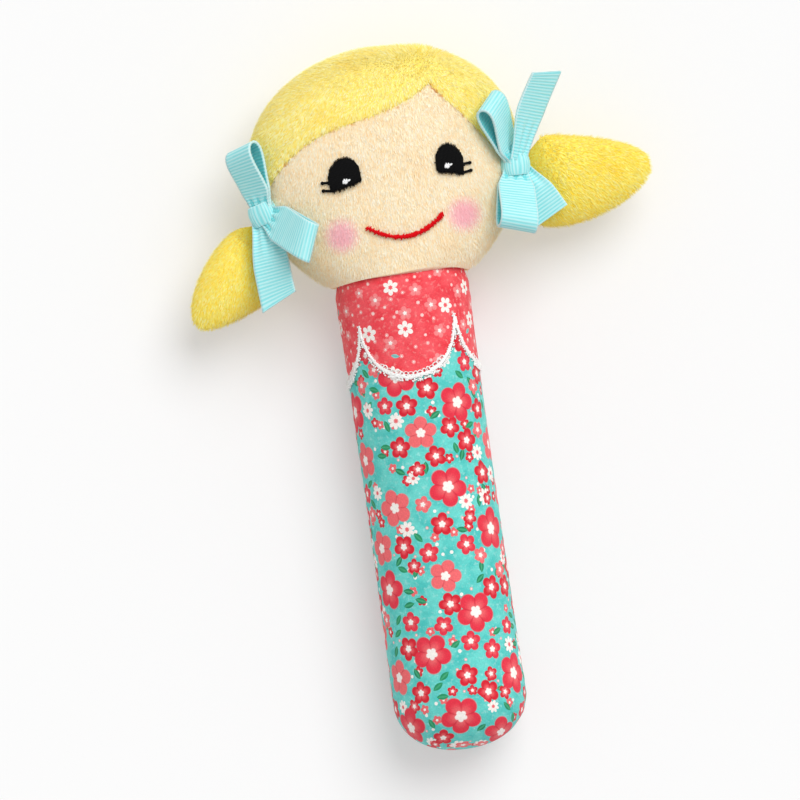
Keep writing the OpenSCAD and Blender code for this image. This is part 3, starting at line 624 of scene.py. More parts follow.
def material(name):
    """A finish of the doll, made the first time that a piece asks for it."""
    found = bpy.data.materials.get(name)
    if found:
        return found
    c = colours()
    makers = {
        "teal_print": dress_material,
        "red_print": yoke_material,
        "ribbed_ribbon": ribbon_material,
        "fibre_fluff": fibre_material,
        "moulded_plastic": plastic_material,
        "cotton_lace": lambda c: thread_material("cotton_lace", c["lace"], 0.85, 0.15, 0.3),
        "black_stitches": lambda c: thread_material("black_stitches", c["black_thread"]),
        "white_stitches": lambda c: thread_material("white_stitches", c["white_thread"]),
        "red_stitches": lambda c: thread_material("red_stitches", c["red_thread"]),
        # The last colour of each plush is the painted highlight of its pale strands.
        "hair_plush": lambda c: plush_material("hair_plush", c["hair_root"], c["hair_tip"], srgb(255, 254, 216)),
        "pigtail_plush": lambda c: plush_material(
            "pigtail_plush", c["pigtail_root"], c["pigtail_tip"], srgb(255, 251, 182)),
        "face_plush": lambda c: plush_material(
            "face_plush", c["face_root"], c["face_tip"], srgb(255, 253, 242),
            [(x, level, c["cheek"]) for x, level in CHEEKS]),
    }
    return makers[name](c)


# Mesh helpers

def finish_piece(name, bm, finish, body, nodes=()):
    """Turns a bmesh into a smooth piece with its material and body."""
    mesh = bpy.data.meshes.new(name)
    bm.to_mesh(mesh)
    bm.free()
    return dress_mesh(name, mesh, finish, body, nodes)


def finish_closed(name, bm, finish, body, nodes=()):
    """Turns the faces of a closed form outwards and makes it a piece."""
    bmesh.ops.recalc_face_normals(bm, faces=bm.faces)
    return finish_piece(name, bm, finish, body, nodes)


def dress_mesh(name, mesh, finish, body, nodes=()):
    """Links a mesh as a piece with its material and body, in place of the solids that it stands for."""
    mesh.materials.clear()
    mesh.materials.append(material(finish))
    mesh.polygons.foreach_set("use_smooth", [True] * len(mesh.polygons))
    piece = bpy.data.objects.new(name, mesh)
    bpy.context.scene.collection.objects.link(piece)
    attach(piece, body)
    if nodes:
        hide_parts(*nodes)
    return piece


def weld(bm):
    """Merges doubled vertices and turns the faces outwards."""
    bmesh.ops.remove_doubles(bm, verts=bm.verts, dist=MERGE_DIST)
    bmesh.ops.recalc_face_normals(bm, faces=bm.faces)


def float_layer(bm, name):
    """A value that each vertex carries, added the first time that it is asked for."""
    return bm.verts.layers.float.get(name) or bm.verts.layers.float.new(name)


def sweep(bm, sections, closed=False):
    """Extrudes a closed outline through its sections and gives the rings of vertices."""
    ring = [bm.verts.new(point) for point in sections[0]]
    first = edges = [bm.edges.new(pair) for pair in zip(ring, ring[1:] + ring[:1])]
    rings = [ring]
    for section in sections[1:]:
        geom = bmesh.ops.extrude_edge_only(bm, edges=edges)["geom"]
        grown = {part for part in geom if isinstance(part, bmesh.types.BMVert)}
        ring = [next(e.other_vert(v) for e in v.link_edges if e.other_vert(v) in grown) for v in ring]
        for vert, point in zip(ring, section):
            vert.co = point
        edges = [bm.edges.get(pair) for pair in zip(ring, ring[1:] + ring[:1])]
        rings.append(ring)
    if closed:
        bmesh.ops.bridge_loops(bm, edges=first + edges)
    else:
        bmesh.ops.edgeloop_fill(bm, edges=first)
        bmesh.ops.edgeloop_fill(bm, edges=edges)
    return rings


def frame_at(way, up):
    """The across and upward directions of a section that faces along way."""
    way = way.normalized()
    across = up.cross(way).normalized()
    return across, way.cross(across)


def tube(bm, points, half_w, half_t, sides=6, tip=0.35):
    """A thread through the points, thinner at its ends, with its length kept for its twist."""
    along = float_layer(bm, "along")
    sections = []
    for i, point in enumerate(points):
        way = points[min(i + 1, len(points) - 1)] - points[max(i - 1, 0)]
        across, rise = frame_at(way, UP)
        size = tip if i in (0, len(points) - 1) else 1
        sections.append([
            point + size * (half_w * math.cos(a) * across + half_t * math.sin(a) * rise)
            for a in (2 * math.pi * k / sides for k in range(sides))
        ])
    run = 0.0
    for i, ring in enumerate(sweep(bm, sections)):
        run += (points[i] - points[i - 1]).length if i else 0.0
        for k, vert in enumerate(ring):
            vert[along] = run / MM + PLY_PITCH * k / sides


# Body

def body_radius(y):
    """The body's radius at a place along it."""
    if y < LOW_Y:
        return END_R * rounded((LOW_Y - y) / FOOT_H, FOOT_POWER)
    if y < NECK.y:
        return lerp(WAIST_R, END_R, (2 * (y - LOW_Y) / (NECK.y - LOW_Y) - 1) ** 2)
    return math.sqrt(max(0.0, END_R ** 2 - (y - NECK.y) ** 2))


def on_body(turn, y, lift=0.0):
    """A place on the body, turned from its front, flattened where the doll lies on its back."""
    radius = body_radius(y) + lift
    return Vector((radius * math.sin(turn), y, max(SEAM_Z + radius * math.cos(turn), lift)))


def outward(turn):
    """The way out of the body at a turn from its front."""
    return Vector((math.sin(turn), 0, math.cos(turn)))


def seat(across, rise, place):
    """A matrix that sets a small form down at a place on a surface."""
    matrix = Matrix((across, rise.cross(across), rise)).transposed().to_4x4()
    matrix.translation = place
    return matrix


def scallop_y(turn):
    """How far down the yoke's scallops reach at a turn from the front."""
    part = (math.degrees(turn) + 45) % 90 - 45
    return CUSP_Y - math.sqrt(max(0.0, SCALLOP_R ** 2 - (END_R * math.sin(math.radians(part))) ** 2))


def cloth_panel(profile, place, front, columns=96):
    """Spins a profile half round the body and lays it as cloth, and keeps its place on the flat for its print."""
    bm = bmesh.new()
    run = float_layer(bm, "run")
    cloth = bm.verts.layers.float_vector.new("cloth")
    verts, total = [], 0.0
    for i, (radius, y) in enumerate(profile):
        if i:
            total += math.dist(profile[i - 1], (radius, y))
        vert = bm.verts.new((radius, y, SEAM_Z))
        vert[run] = total
        verts.append(vert)
    edges = [bm.edges.new(pair) for pair in zip(verts, verts[1:])]
    bmesh.ops.spin(
        bm, geom=verts + edges, cent=(0, 0, SEAM_Z), axis=(0, 1, 0), angle=math.pi * (-1 if front else 1),
        steps=columns)
    bmesh.ops.remove_doubles(bm, verts=bm.verts, dist=MERGE_DIST)
    middle = 0 if front else math.pi
    for vert in bm.verts:
        x, y, z = vert.co
        turn = math.atan2(x, z - SEAM_Z)
        if not front and turn < 0:
            turn += 2 * math.pi
        radius = math.hypot(x, z - SEAM_Z)
        y = place(turn, y)
        side = abs(abs(turn - middle) - math.pi / 2) * END_R
        lump = noise.noise(Vector((x, y, z)) * 55) * CLOTH_LUMP
        pucker = PUCKER_H * math.sin(2 * math.pi * y / PUCKER_PITCH) * math.exp(-side / PUCKER_REACH)
        near = ease(side / (0.4 * MM))
        along = vert[run] + y - vert.co.y + (0 if front else BACK_PRINT_SHIFT)
        across = (turn - middle) * max(radius, 1e-5) + middle * END_R
        vert[cloth] = Vector((across, along, 0)) / MM
        vert.co = on_body(turn, y, (lump + pucker) * near * ease(radius / (8 * MM)))
    bmesh.ops.recalc_face_normals(bm, faces=bm.faces)
    probe = max(bm.faces, key=lambda f: f.calc_center_median().z * (1 if front else -1))
    if (probe.normal.z > 0) != front:
        bmesh.ops.reverse_faces(bm, faces=bm.faces)
    return bm


def add_wall(piece, thickness):
    """Gives a sheet its thickness inwards."""
    wall = piece.modifiers.new("thickness", "SOLIDIFY")
    wall.thickness = thickness
    wall.offset = -1
    return piece


def dress_profile():
    """The dress from the pole of its foot to the scallops' cusps."""
    power = 2 / FOOT_POWER
    turns = [math.pi / 2 * t for t in steps(24)]
    foot = [(END_R * math.sin(a) ** power, LOW_Y - FOOT_H * math.cos(a) ** power) for a in turns]
    return foot + [(body_radius(y), y) for y in (lerp(LOW_Y, CUSP_Y, t) for t in steps(110)[1:])]


def dress_place(turn, y):
    """Draws the rows of the dress up to the scalloped seam."""
    return lerp(LOW_Y, scallop_y(turn), (y - LOW_Y) / (CUSP_Y - LOW_Y)) if y > LOW_Y else y


def yoke_profile():
    """The yoke from the lowest point of its scallops to the round of the neck."""
    low, top = CUSP_Y - SCALLOP_R, NECK.y + END_R * math.sin(YOKE_TOP)
    return [(body_radius(y), y) for y in (lerp(low, top, t) for t in steps(44))]


def yoke_place(turn, y):
    """Draws the rows of the yoke down to its scalloped edge."""
    low = CUSP_Y - SCALLOP_R
    return lerp(scallop_y(turn), NECK.y, (y - low) / (NECK.y - low)) if y < NECK.y else y


class DOLL_OT_dress(Operator):
    """Makes the dress's two printed panels."""

    bl_idname = "doll.dress"
    bl_label = "Dress"

    def execute(self, context):
        for side in ("front", "back"):
            bm = cloth_panel(dress_profile(), dress_place, side == "front")
            piece = finish_piece(
                f"dress_{side}_cotton", bm, "teal_print", "body", [f"dress_{side}"])
            add_wall(piece, COTTON_T)
        return {"FINISHED"}


class DOLL_OT_yoke(Operator):
    """Makes the yoke's two printed panels."""

    bl_idname = "doll.yoke"
    bl_label = "Yoke"

    def execute(self, context):
        for side in ("front", "back"):
            bm = cloth_panel(yoke_profile(), yoke_place, side == "front")
            piece = finish_piece(
                f"yoke_{side}_cotton", bm, "red_print", "body", [f"yoke_{side}"])
            add_wall(piece, COTTON_T)
        return {"FINISHED"}


class DOLL_OT_lace(Operator):
    """Makes the lace: a braided band along the scallops, lumpy with thread, with small loops at their feet."""

    bl_idname = "doll.lace"
    bl_label = "Lace"

    def execute(self, context):
        bm = bmesh.new()
        path = []
        for k in range(SCALLOPS):
            for t in steps(SCALLOP_STEPS)[:-1]:
                a = math.pi * t
                turn = math.asin(-SCALLOP_R * math.cos(a) / END_R) + 2 * math.pi / SCALLOPS * k
                y = CUSP_Y - SCALLOP_R * math.sin(a) + LACE_PEAK * abs(math.cos(a)) ** 7
                path.append((turn, y, math.sin(a)))
        points = [on_body(turn, y, LACE_LIFT) for turn, y, _ in path]
        self.braid(bm, path, points)
        self.add_lumps(bm, path, points)
        self.add_loops(bm, path, points, context.scene.doll_trim)
        finish_closed("scallop_lace", bm, "cotton_lace", "body", ["lace_trim"])
        return {"FINISHED"}

    def braid(self, bm, path, points):
        """Weaves a few wandering threads into a band that is widest at the foot of each scallop."""
        count, total = len(points), sum((b - a).length for a, b in zip(points, points[1:] + points[:1]))
        waves = round(total / LACE_WAVE)
        for thread in range(LACE_THREADS):
            run, sections = 0.0, []
            for i, point in enumerate(points):
                run += (point - points[i - 1]).length if i else 0.0
                turn, _, low = path[i]
                across, rise = frame_at(points[(i + 1) % count] - points[i - 1], outward(turn))
                phase = 2 * math.pi * (waves * run / total + thread / LACE_THREADS)
                wander = noise.noise(Vector((run / (0.8 * MM), 7.3 * thread, 0))) * low ** 0.5
                aside = lerp(0.35, 0.6, low) * MM * (0.7 * math.sin(phase) + 0.95 * wander)
                middle = point + aside * across + 0.12 * MM * math.cos(2 * phase) * rise
                thick = (0.21 + 0.07 * wander) * MM
                sections.append([
                    middle + thick * math.cos(a) * across + thick * math.sin(a) * rise
                    for a in (2 * math.pi * j / 5 for j in range(5))
                ])
            sweep(bm, sections, closed=True)

    def add_lumps(self, bm, path, points):
        """Sets small lumps of thread over the band and past its lower edge, some at a time."""
        chance = random.Random(6)
        mesh = bpy.data.meshes.new("lace_lumps")
        for first in range(0, len(path), LUMP_GROUP):
            group = bmesh.new()
            for i in range(first, first + LUMP_GROUP):
                turn, _, low = path[i]
                across, rise = frame_at(points[i] - points[i - 1], outward(turn))
                for _ in range(LUMPS_TO_A_POINT):
                    aside = chance.uniform(lerp(-0.65, -1.3, low), lerp(0.6, 0.5, low)) * MM
                    lift = chance.uniform(-0.1, 0.1) * MM
                    place = seat(across, rise, points[i] + aside * across + lift * rise)
                    sizes = (chance.uniform(0.2, 0.48) * MM, chance.uniform(0.18, 0.3) * MM, 0.2 * MM, 1)
                    spin = Matrix.Rotation(chance.uniform(0, math.pi), 4, "Z")
                    bmesh.ops.create_uvsphere(
                        group, u_segments=6, v_segments=4, radius=1, matrix=place @ spin @ Matrix.Diagonal(sizes))
            group.to_mesh(mesh)
            group.free()
            bm.from_mesh(mesh)
        bpy.data.meshes.remove(mesh)

    def add_loops(self, bm, path, points, trim):
        """Sets small uneven thread loops along the feet of the scallops."""
        loop = bmesh.new()
        bmesh.ops.create_circle(
            loop, segments=5, radius=LOOP_THREAD_R,
            matrix=Matrix.Translation((trim.lace_loop, 0, 0)) @ Matrix.Rotation(math.pi / 2, 4, "X"))
        bmesh.ops.spin(
            loop, geom=loop.verts[:] + loop.edges[:], cent=(0, 0, 0), axis=(0, 0, 1), angle=2 * math.pi, steps=10,
            use_merge=True)
        mesh = bpy.data.meshes.new("lace_loop")
        loop.to_mesh(mesh)
        loop.free()
        chance = random.Random(14)
        due = 0.0
        for i, (turn, _, low) in enumerate(path):
            step = points[i] - points[i - 1]
            due += step.length
            if due < trim.lace_pitch:
                continue
            due -= trim.lace_pitch * chance.uniform(0.9, 1.1)
            if low < LOOPS_FROM:
                continue
            across, rise = frame_at(step, outward(turn))
            before = len(bm.verts)
            bm.from_mesh(mesh)
            bm.verts.ensure_lookup_table()
            aside = chance.uniform(0.7, 1.0) * MM
            place = seat(across, rise, points[i] + across * aside + rise * (0.02 * MM))
            shape = Matrix.Rotation(chance.uniform(-0.5, 0.5), 4, "Z") @ Matrix.Diagonal(
                (chance.uniform(0.55, 1.15), chance.uniform(0.7, 1.25), 1, 1))
            bmesh.ops.transform(bm, matrix=place @ shape, verts=bm.verts[before:])
        bpy.data.meshes.remove(mesh)


# Head

def head_half_w(level, inset=0.0, left=False):
    """Half the head's width at a level over its widest."""
    if level > 0:
        return (HEAD_HALF_W - inset) * rounded(
            min(1.0, level / (TOP_H - inset)), LEFT_CROWN_POWER if left else CROWN_POWER)
    return HEAD_HALF_W * rounded(level / CHIN_REACH, 2) - inset


def head_half_d(level, depth, inset=0.0):
    """The head's depth in front of its seam or behind it at a level."""
    if level > 0:
        return (depth - inset) * rounded(min(1.0, level / (TOP_H - inset)), CROWN_POWER)
    return lerp(depth, RIM_OUT, (level / LOW_H) ** 2) - inset


def face_rise(x, level):
    """How far the face stands out of the seam."""
    share = min(1.0, abs(x) / head_half_w(level, left=x < 0))
    return head_half_d(level, FACE_DEPTH) * math.sqrt(1 - share * share)


def on_face(x, level, lift=0.0):
    """A place on the face."""
    return Vector((x, LEVEL_Y + level, SEAM_Z + face_rise(x, level) + lift))


def hairline():
    """The points of the hairline from temple to temple, as x and level."""
    left = [LEFT_TEMPLE, LEFT_TEMPLE + LEFT_HANDLES[0], PEAK + LEFT_HANDLES[1], PEAK]
    right = [PEAK, PEAK + RIGHT_HANDLES[0], RIGHT_TEMPLE + RIGHT_HANDLES[1], RIGHT_TEMPLE]
    return [bezier(left, i / 24) for i in range(25)] + [bezier(right, i / 16) for i in range(1, 17)]


def hair_level(x, line):
    """The hairline's level at a place across the face."""
    for a, b in zip(line, line[1:]):
        if a.x <= x <= b.x:
            return lerp(a.y, b.y, (x - a.x) / max(b.x - a.x, 1e-9))
    return line[0].y if x < line[0].x else line[-1].y


def chin_lift(angle):
    """How far the chin's edge is drawn up over the yoke, at an angle round the neck."""
    return CHIN_ARCH * (1 + 1.2 * max(0.0, math.cos(angle))) * math.sin(angle) ** 2


def head_mesh(inset, u_steps=150, v_steps=110):
    """The head's closed form, drawn in from its outer size, with the hollow that takes the neck."""
    bm = bmesh.new()
    bmesh.ops.create_uvsphere(
        bm, u_segments=u_steps, v_segments=v_steps, radius=1, matrix=Matrix.Rotation(-math.pi / 2, 4, "X"))
    rim = RIM_LATITUDE
    for vert in bm.verts:
        x, y, z = vert.co
        angle, lat = math.atan2(z, x), math.asin(max(-1.0, min(1.0, y)))
        depth = FACE_DEPTH if z > 0 else BACK_DEPTH
        if lat >= rim - 1e-6:
            if lat > 0:
                level = (TOP_H - inset) * math.sin(lat)
            else:
                level = -LOW_H * math.sin(math.pi / 2 * min(1.0, lat / rim))
            tucked = inset * (1 - max(0.0, -level / LOW_H) ** 6)
            x = head_half_w(level, tucked, x < 0) * math.cos(angle)
            z = head_half_d(level, depth, tucked) * math.sin(angle)
            y = LEVEL_Y + level
            if z > 0 and level < 0:
                y += chin_lift(angle) * (-level / LOW_H) ** 5
        else:
            share = (rim - lat) / (rim + math.pi / 2)
            radius = (RIM_IN - 0.05 * MM) * (1 - share)
            x, z = radius * math.cos(angle), radius * math.sin(angle)
            y = NECK.y + math.sqrt(SOCKET_R ** 2 - radius * radius)
        vert.co = (x, y, max(SEAM_Z + z, inset))
    weld(bm)
    return bm


def keep_half(bm, front):
    """Cuts a closed form at the seam's plane and keeps one half."""
    bmesh.ops.bisect_plane(
        bm, geom=bm.verts[:] + bm.edges[:] + bm.faces[:], dist=MERGE_DIST, plane_co=(0, 0, SEAM_Z), plane_no=UP,
        clear_inner=front, clear_outer=not front)


def cut_hairline(bm, line):
    """Cuts the edges of the front panels along the hairline."""
    for a, b in zip(line, line[1:]):
        near = [f for f in bm.faces if a.x - 3 * MM < f.calc_center_median().x < b.x + 3 * MM]
        geom = dict.fromkeys(part for f in near for part in (f, *f.edges, *f.verts))
        bmesh.ops.bisect_plane(
            bm, geom=list(geom), dist=MERGE_DIST, plane_co=(a.x, LEVEL_Y + a.y, 0),
            plane_no=(a.y - b.y, b.x - a.x, 0))


def drop_faces(bm, unwanted):
    """Deletes the faces that a test picks by their middles."""
    bmesh.ops.delete(bm, geom=[f for f in bm.faces if unwanted(f.calc_center_median())], context="FACES")


def in_socket(place):
    """Whether a place lies in the hollow that takes the neck."""
    inside = math.hypot(place.x, place.z - SEAM_Z) < RIM_IN - 0.1 * MM
    return inside and (place - NECK).length < SOCKET_R + 0.05 * MM


def in_order(bm):
    """The same sheet with its vertices and faces in one fixed order, so that its pile is the same in each run."""
    fresh = bmesh.new()
    places = sorted(bm.verts, key=lambda v: [round(c / MM, 5) for c in v.co])
    rank = {vert: i for i, vert in enumerate(places)}
    verts = [fresh.verts.new(vert.co) for vert in places]
    loops = []
    for face in bm.faces:
        loop = [rank[vert] for vert in face.verts]
        first = loop.index(min(loop))
        loops.append(loop[first:] + loop[:first])
    for loop in sorted(loops):
        fresh.faces.new([verts[i] for i in loop])
    bm.free()
    return fresh


def tuck(bm, line, bulge):
    """Draws a panel in along the hairline's seam, lets it bulge beside it and keeps how near the seam is."""
    seam = float_layer(bm, "seam")
    points = [Vector((p.x, LEVEL_Y + p.y)) for p in line]
    bm.normal_update()
    for vert in bm.verts:
        away = min((vert.co.xy - p).length for p in points) / MM
        vert[seam] = math.exp(-(away / 1.1) ** 2)
        lift = bulge * math.exp(-((away - 2.2) / 1.6) ** 2) - SEAM_TUCK * math.exp(-(away / 0.9) ** 2)
        vert.co += vert.normal * lift


def face_nap(vert):
    """The way that the face is brushed: down, and a little outwards."""
    return Vector((0.12 * vert.co.x / HEAD_HALF_W, -1, 0))


def face_cover(vert):
    """How fully the face is covered: bare at the chin's edge."""
    edge = CHIN_Y + chin_lift(math.atan2(vert.co.z - SEAM_Z, vert.co.x)) + 0.5 * MM
    return ease((vert.co.y - edge) / MM)


def hair_nap(vert):
    """The way that the hair is brushed: down over the face, and from the parting along the head's outline."""
    down = Vector(((vert.co.x - PEAK.x) / HEAD_HALF_W * 0.5, -1, 0))
    side = max(-1.0, min(1.0, (vert.co.x - PEAK.x) / (9 * MM)))
    edge = side * Vector((vert.normal.y, -vert.normal.x, 0))
    away = ease((0.9 - vert.normal.z) / 0.6) if vert.co.z > SEAM_Z - 1e-6 else ease((vert.normal.z + 0.7) / 0.6)
    return down.lerp(edge, away)


def off_hinge(place, side):
    """How far a place is from the line that a pigtail flops about."""
    joint = JOINTS[f"{side}_pigtail_flop"]
    axis, away = Vector(joint["axis"]), place - Vector(joint["pos_m"])
    return (away - max(-ROOT_HALF_W, min(ROOT_HALF_W, away.dot(axis))) * axis).length


def full_cover(_):
    """Covered all over."""
    return 1.0


def back_cover(vert):
    """How fully the back of the head is covered: bare along the pigtails' hinges and at the neck's sides."""
    cover = ease((min(off_hinge(vert.co, side) for side in PIGTAILS) - 4 * MM) / (3 * MM))
    if vert.co.y < LEVEL_Y - 8 * MM:
        cover *= ease((SEAM_Z - vert.co.z) / (2.5 * MM)) * ease((vert.co.y - CHIN_Y - 1.2 * MM) / (1.5 * MM))
    return cover


def comb(bm, direction, cover):
    """Keeps on each vertex the way that the pile over it is brushed and how fully it is covered."""
    nap = bm.verts.layers.float_vector.new("nap")
    fleece = bm.verts.layers.float_vector.new("fleece")
    full = float_layer(bm, "cover")
    for vert in bm.verts:
        way = direction(vert)
        flat = way.normalized()
        along = vert.co.dot(flat)
        vert[nap] = way - way.dot(vert.normal) * vert.normal
        vert[fleece] = (vert.co - 0.72 * along * flat) / MM
        vert[full] = cover(vert)


def pile_nodes(name, strand_length, width, density, lean, seed):
    """Geometry nodes that set strands of pile on a sheet, brushed along its nap and drawn into small tufts."""
    tree = bpy.data.node_groups.new(name, "GeometryNodeTree")
    tree.interface.new_socket("Geometry", in_out="INPUT", socket_type="NodeSocketGeometry")
    tree.interface.new_socket("Geometry", in_out="OUTPUT", socket_type="NodeSocketGeometry")
    n = Nodes(tree)
    sheet = n.add("NodeGroupInput").outputs[0]
    cover = n.carried("cover", "FLOAT")
    spread = n.add(
        "GeometryNodeDistributePointsOnFaces", {
            "Mesh": sheet, "Distance Min": 0.55 * MM / math.sqrt(density), "Density Max": density * 1.6 / MM ** 2,
            "Density Factor": cover, "Seed": seed,
        }, distribute_method="POISSON")
    place = n.add("GeometryNodeInputPosition").outputs[0]
    tuft = n.add("ShaderNodeTexNoise", {"Vector": place, "Scale": 0.55 / MM, "Detail": 1.0}).outputs[1]
    tuft = n.scaled(n.vector("SUBTRACT", tuft, (0.5, 0.5, 0.5)), 1.5)
    stray = n.add(
        "FunctionNodeRandomValue", {0: (-0.3,) * 3, 1: (0.3,) * 3, "Seed": seed + 1},
        data_type="FLOAT_VECTOR").outputs[0]
    way = n.vector("ADD", spread.outputs["Normal"], n.scaled(n.carried("nap", "FLOAT_VECTOR"), lean))
    way = n.vector("ADD", n.vector("ADD", way, tuft), stray)
    turn = n.add("FunctionNodeAlignRotationToVector", {"Vector": way}, axis="Z").outputs[0]
    turn = n.add(
        "FunctionNodeAlignRotationToVector", {"Rotation": turn, "Vector": spread.outputs["Normal"]}, axis="X",
        pivot_axis="Z").outputs[0]
    chance = n.add("FunctionNodeRandomValue", {2: 0.05, 3: 1.0, "Seed": seed + 2}, data_type="FLOAT").outputs[1]
    points = n.store(spread.outputs["Points"], "strand", chance)
    cone = n.add(
        "GeometryNodeMeshCone", {
            "Vertices": 3, "Side Segments": 1, "Radius Top": 0.0, "Radius Bottom": width / 2,
            "Depth": strand_length,
        }, fill_type="NGON").outputs[0]
    cone = n.add("GeometryNodeTransform", {"Geometry": cone, "Scale": (STRAND_FLATNESS, 1, 1)}).outputs[0]
    rise = n.add("ShaderNodeSeparateXYZ", {0: place}).outputs[2]
    cone = n.store(cone, "tip", n.math("MULTIPLY_ADD", rise, 0.5 / strand_length, 0.5))
    size = n.add("FunctionNodeRandomValue", {2: 0.72, 3: 1.12, "Seed": seed + 3}, data_type="FLOAT").outputs[1]
    strands = n.add(
        "GeometryNodeInstanceOnPoints", {"Points": points, "Instance": cone, "Rotation": turn, "Scale": size})
    n.add("NodeGroupOutput", {0: n.add("GeometryNodeRealizeInstances", {0: strands.outputs[0]}).outputs[0]})
    return tree


def plush_piece(name, bm, finish, body, nodes, strand_length, density, seed):
    """Turns an open sheet into a plush panel: a backing with its thickness and the pile that stands on it."""
    pile = bpy.context.scene.doll_pile
    sheet = bpy.data.objects.new(name + "_sheet", bpy.data.meshes.new(name + "_sheet"))
    bm.to_mesh(sheet.data)
    bpy.context.scene.collection.objects.link(sheet)
    sheet.data.polygons.foreach_set("use_smooth", [True] * len(sheet.data.polygons))
    grow = sheet.modifiers.new("pile", "NODES")
    grow.node_group = pile_nodes(name + "_pile", strand_length, pile.strand_width, density, pile.lean, seed)
    strands = bpy.data.meshes.new_from_object(sheet.evaluated_get(bpy.context.evaluated_depsgraph_get()))
    bmesh.ops.solidify(bm, geom=bm.faces[:], thickness=PLUSH_T)
    bmesh.ops.recalc_face_normals(bm, faces=bm.faces)
    bm.to_mesh(sheet.data)
    bm.free()
    sheet.modifiers.clear()
    backing = len(sheet.data.polygons)
    fur = bpy.data.objects.new(name + "_strands", strands)
    bpy.context.scene.collection.objects.link(fur)
    with bpy.context.temp_override(active_object=sheet, object=sheet, selected_editable_objects=[sheet, fur]):
        bpy.ops.object.join()
    mesh = sheet.data
    bpy.data.objects.remove(sheet)
    piece = dress_mesh(name, mesh, finish, body, nodes)
    mesh.polygons.foreach_set("use_smooth", [i < backing for i in range(len(mesh.polygons))])
    return piece


class DOLL_OT_head(Operator):
    """Makes the plush panels of the face and the hair."""

    bl_idname = "doll.head"
    bl_label = "Head"

    def execute(self, context):
        pile = context.scene.doll_pile
        line = hairline()
        for part in ("face", "hair_front", "hair_back"):
            is_face, is_back = part == "face", part == "hair_back"
            strand_length = pile.face_length if is_face else pile.hair_length
            bm = head_mesh(PILE_SINK * strand_length)
            keep_half(bm, not is_back)
            if not is_back:
                cut_hairline(bm, line)
                drop_faces(bm, lambda p: (p.y - LEVEL_Y < hair_level(p.x, line)) != is_face)
            drop_faces(bm, in_socket)
            bm = in_order(bm)
            if not is_back:
                tuck(bm, line, (0.05 if is_face else 0.5) * MM)
            bm.normal_update()
            if is_face:
                comb(bm, face_nap, face_cover)
                plush_piece(
                    "face_plush_panel", bm, "face_plush", "head", ["face_panel"],
                    strand_length, pile.face_density, 11)
            else:
                comb(bm, hair_nap, back_cover if is_back else full_cover)
                plush_piece(
                    f"{part}_plush_panel", bm, "hair_plush", "head", [part],
                    strand_length, pile.hair_density * (BACK_DENSITY if is_back else 1), 23)
        return {"FINISHED"}


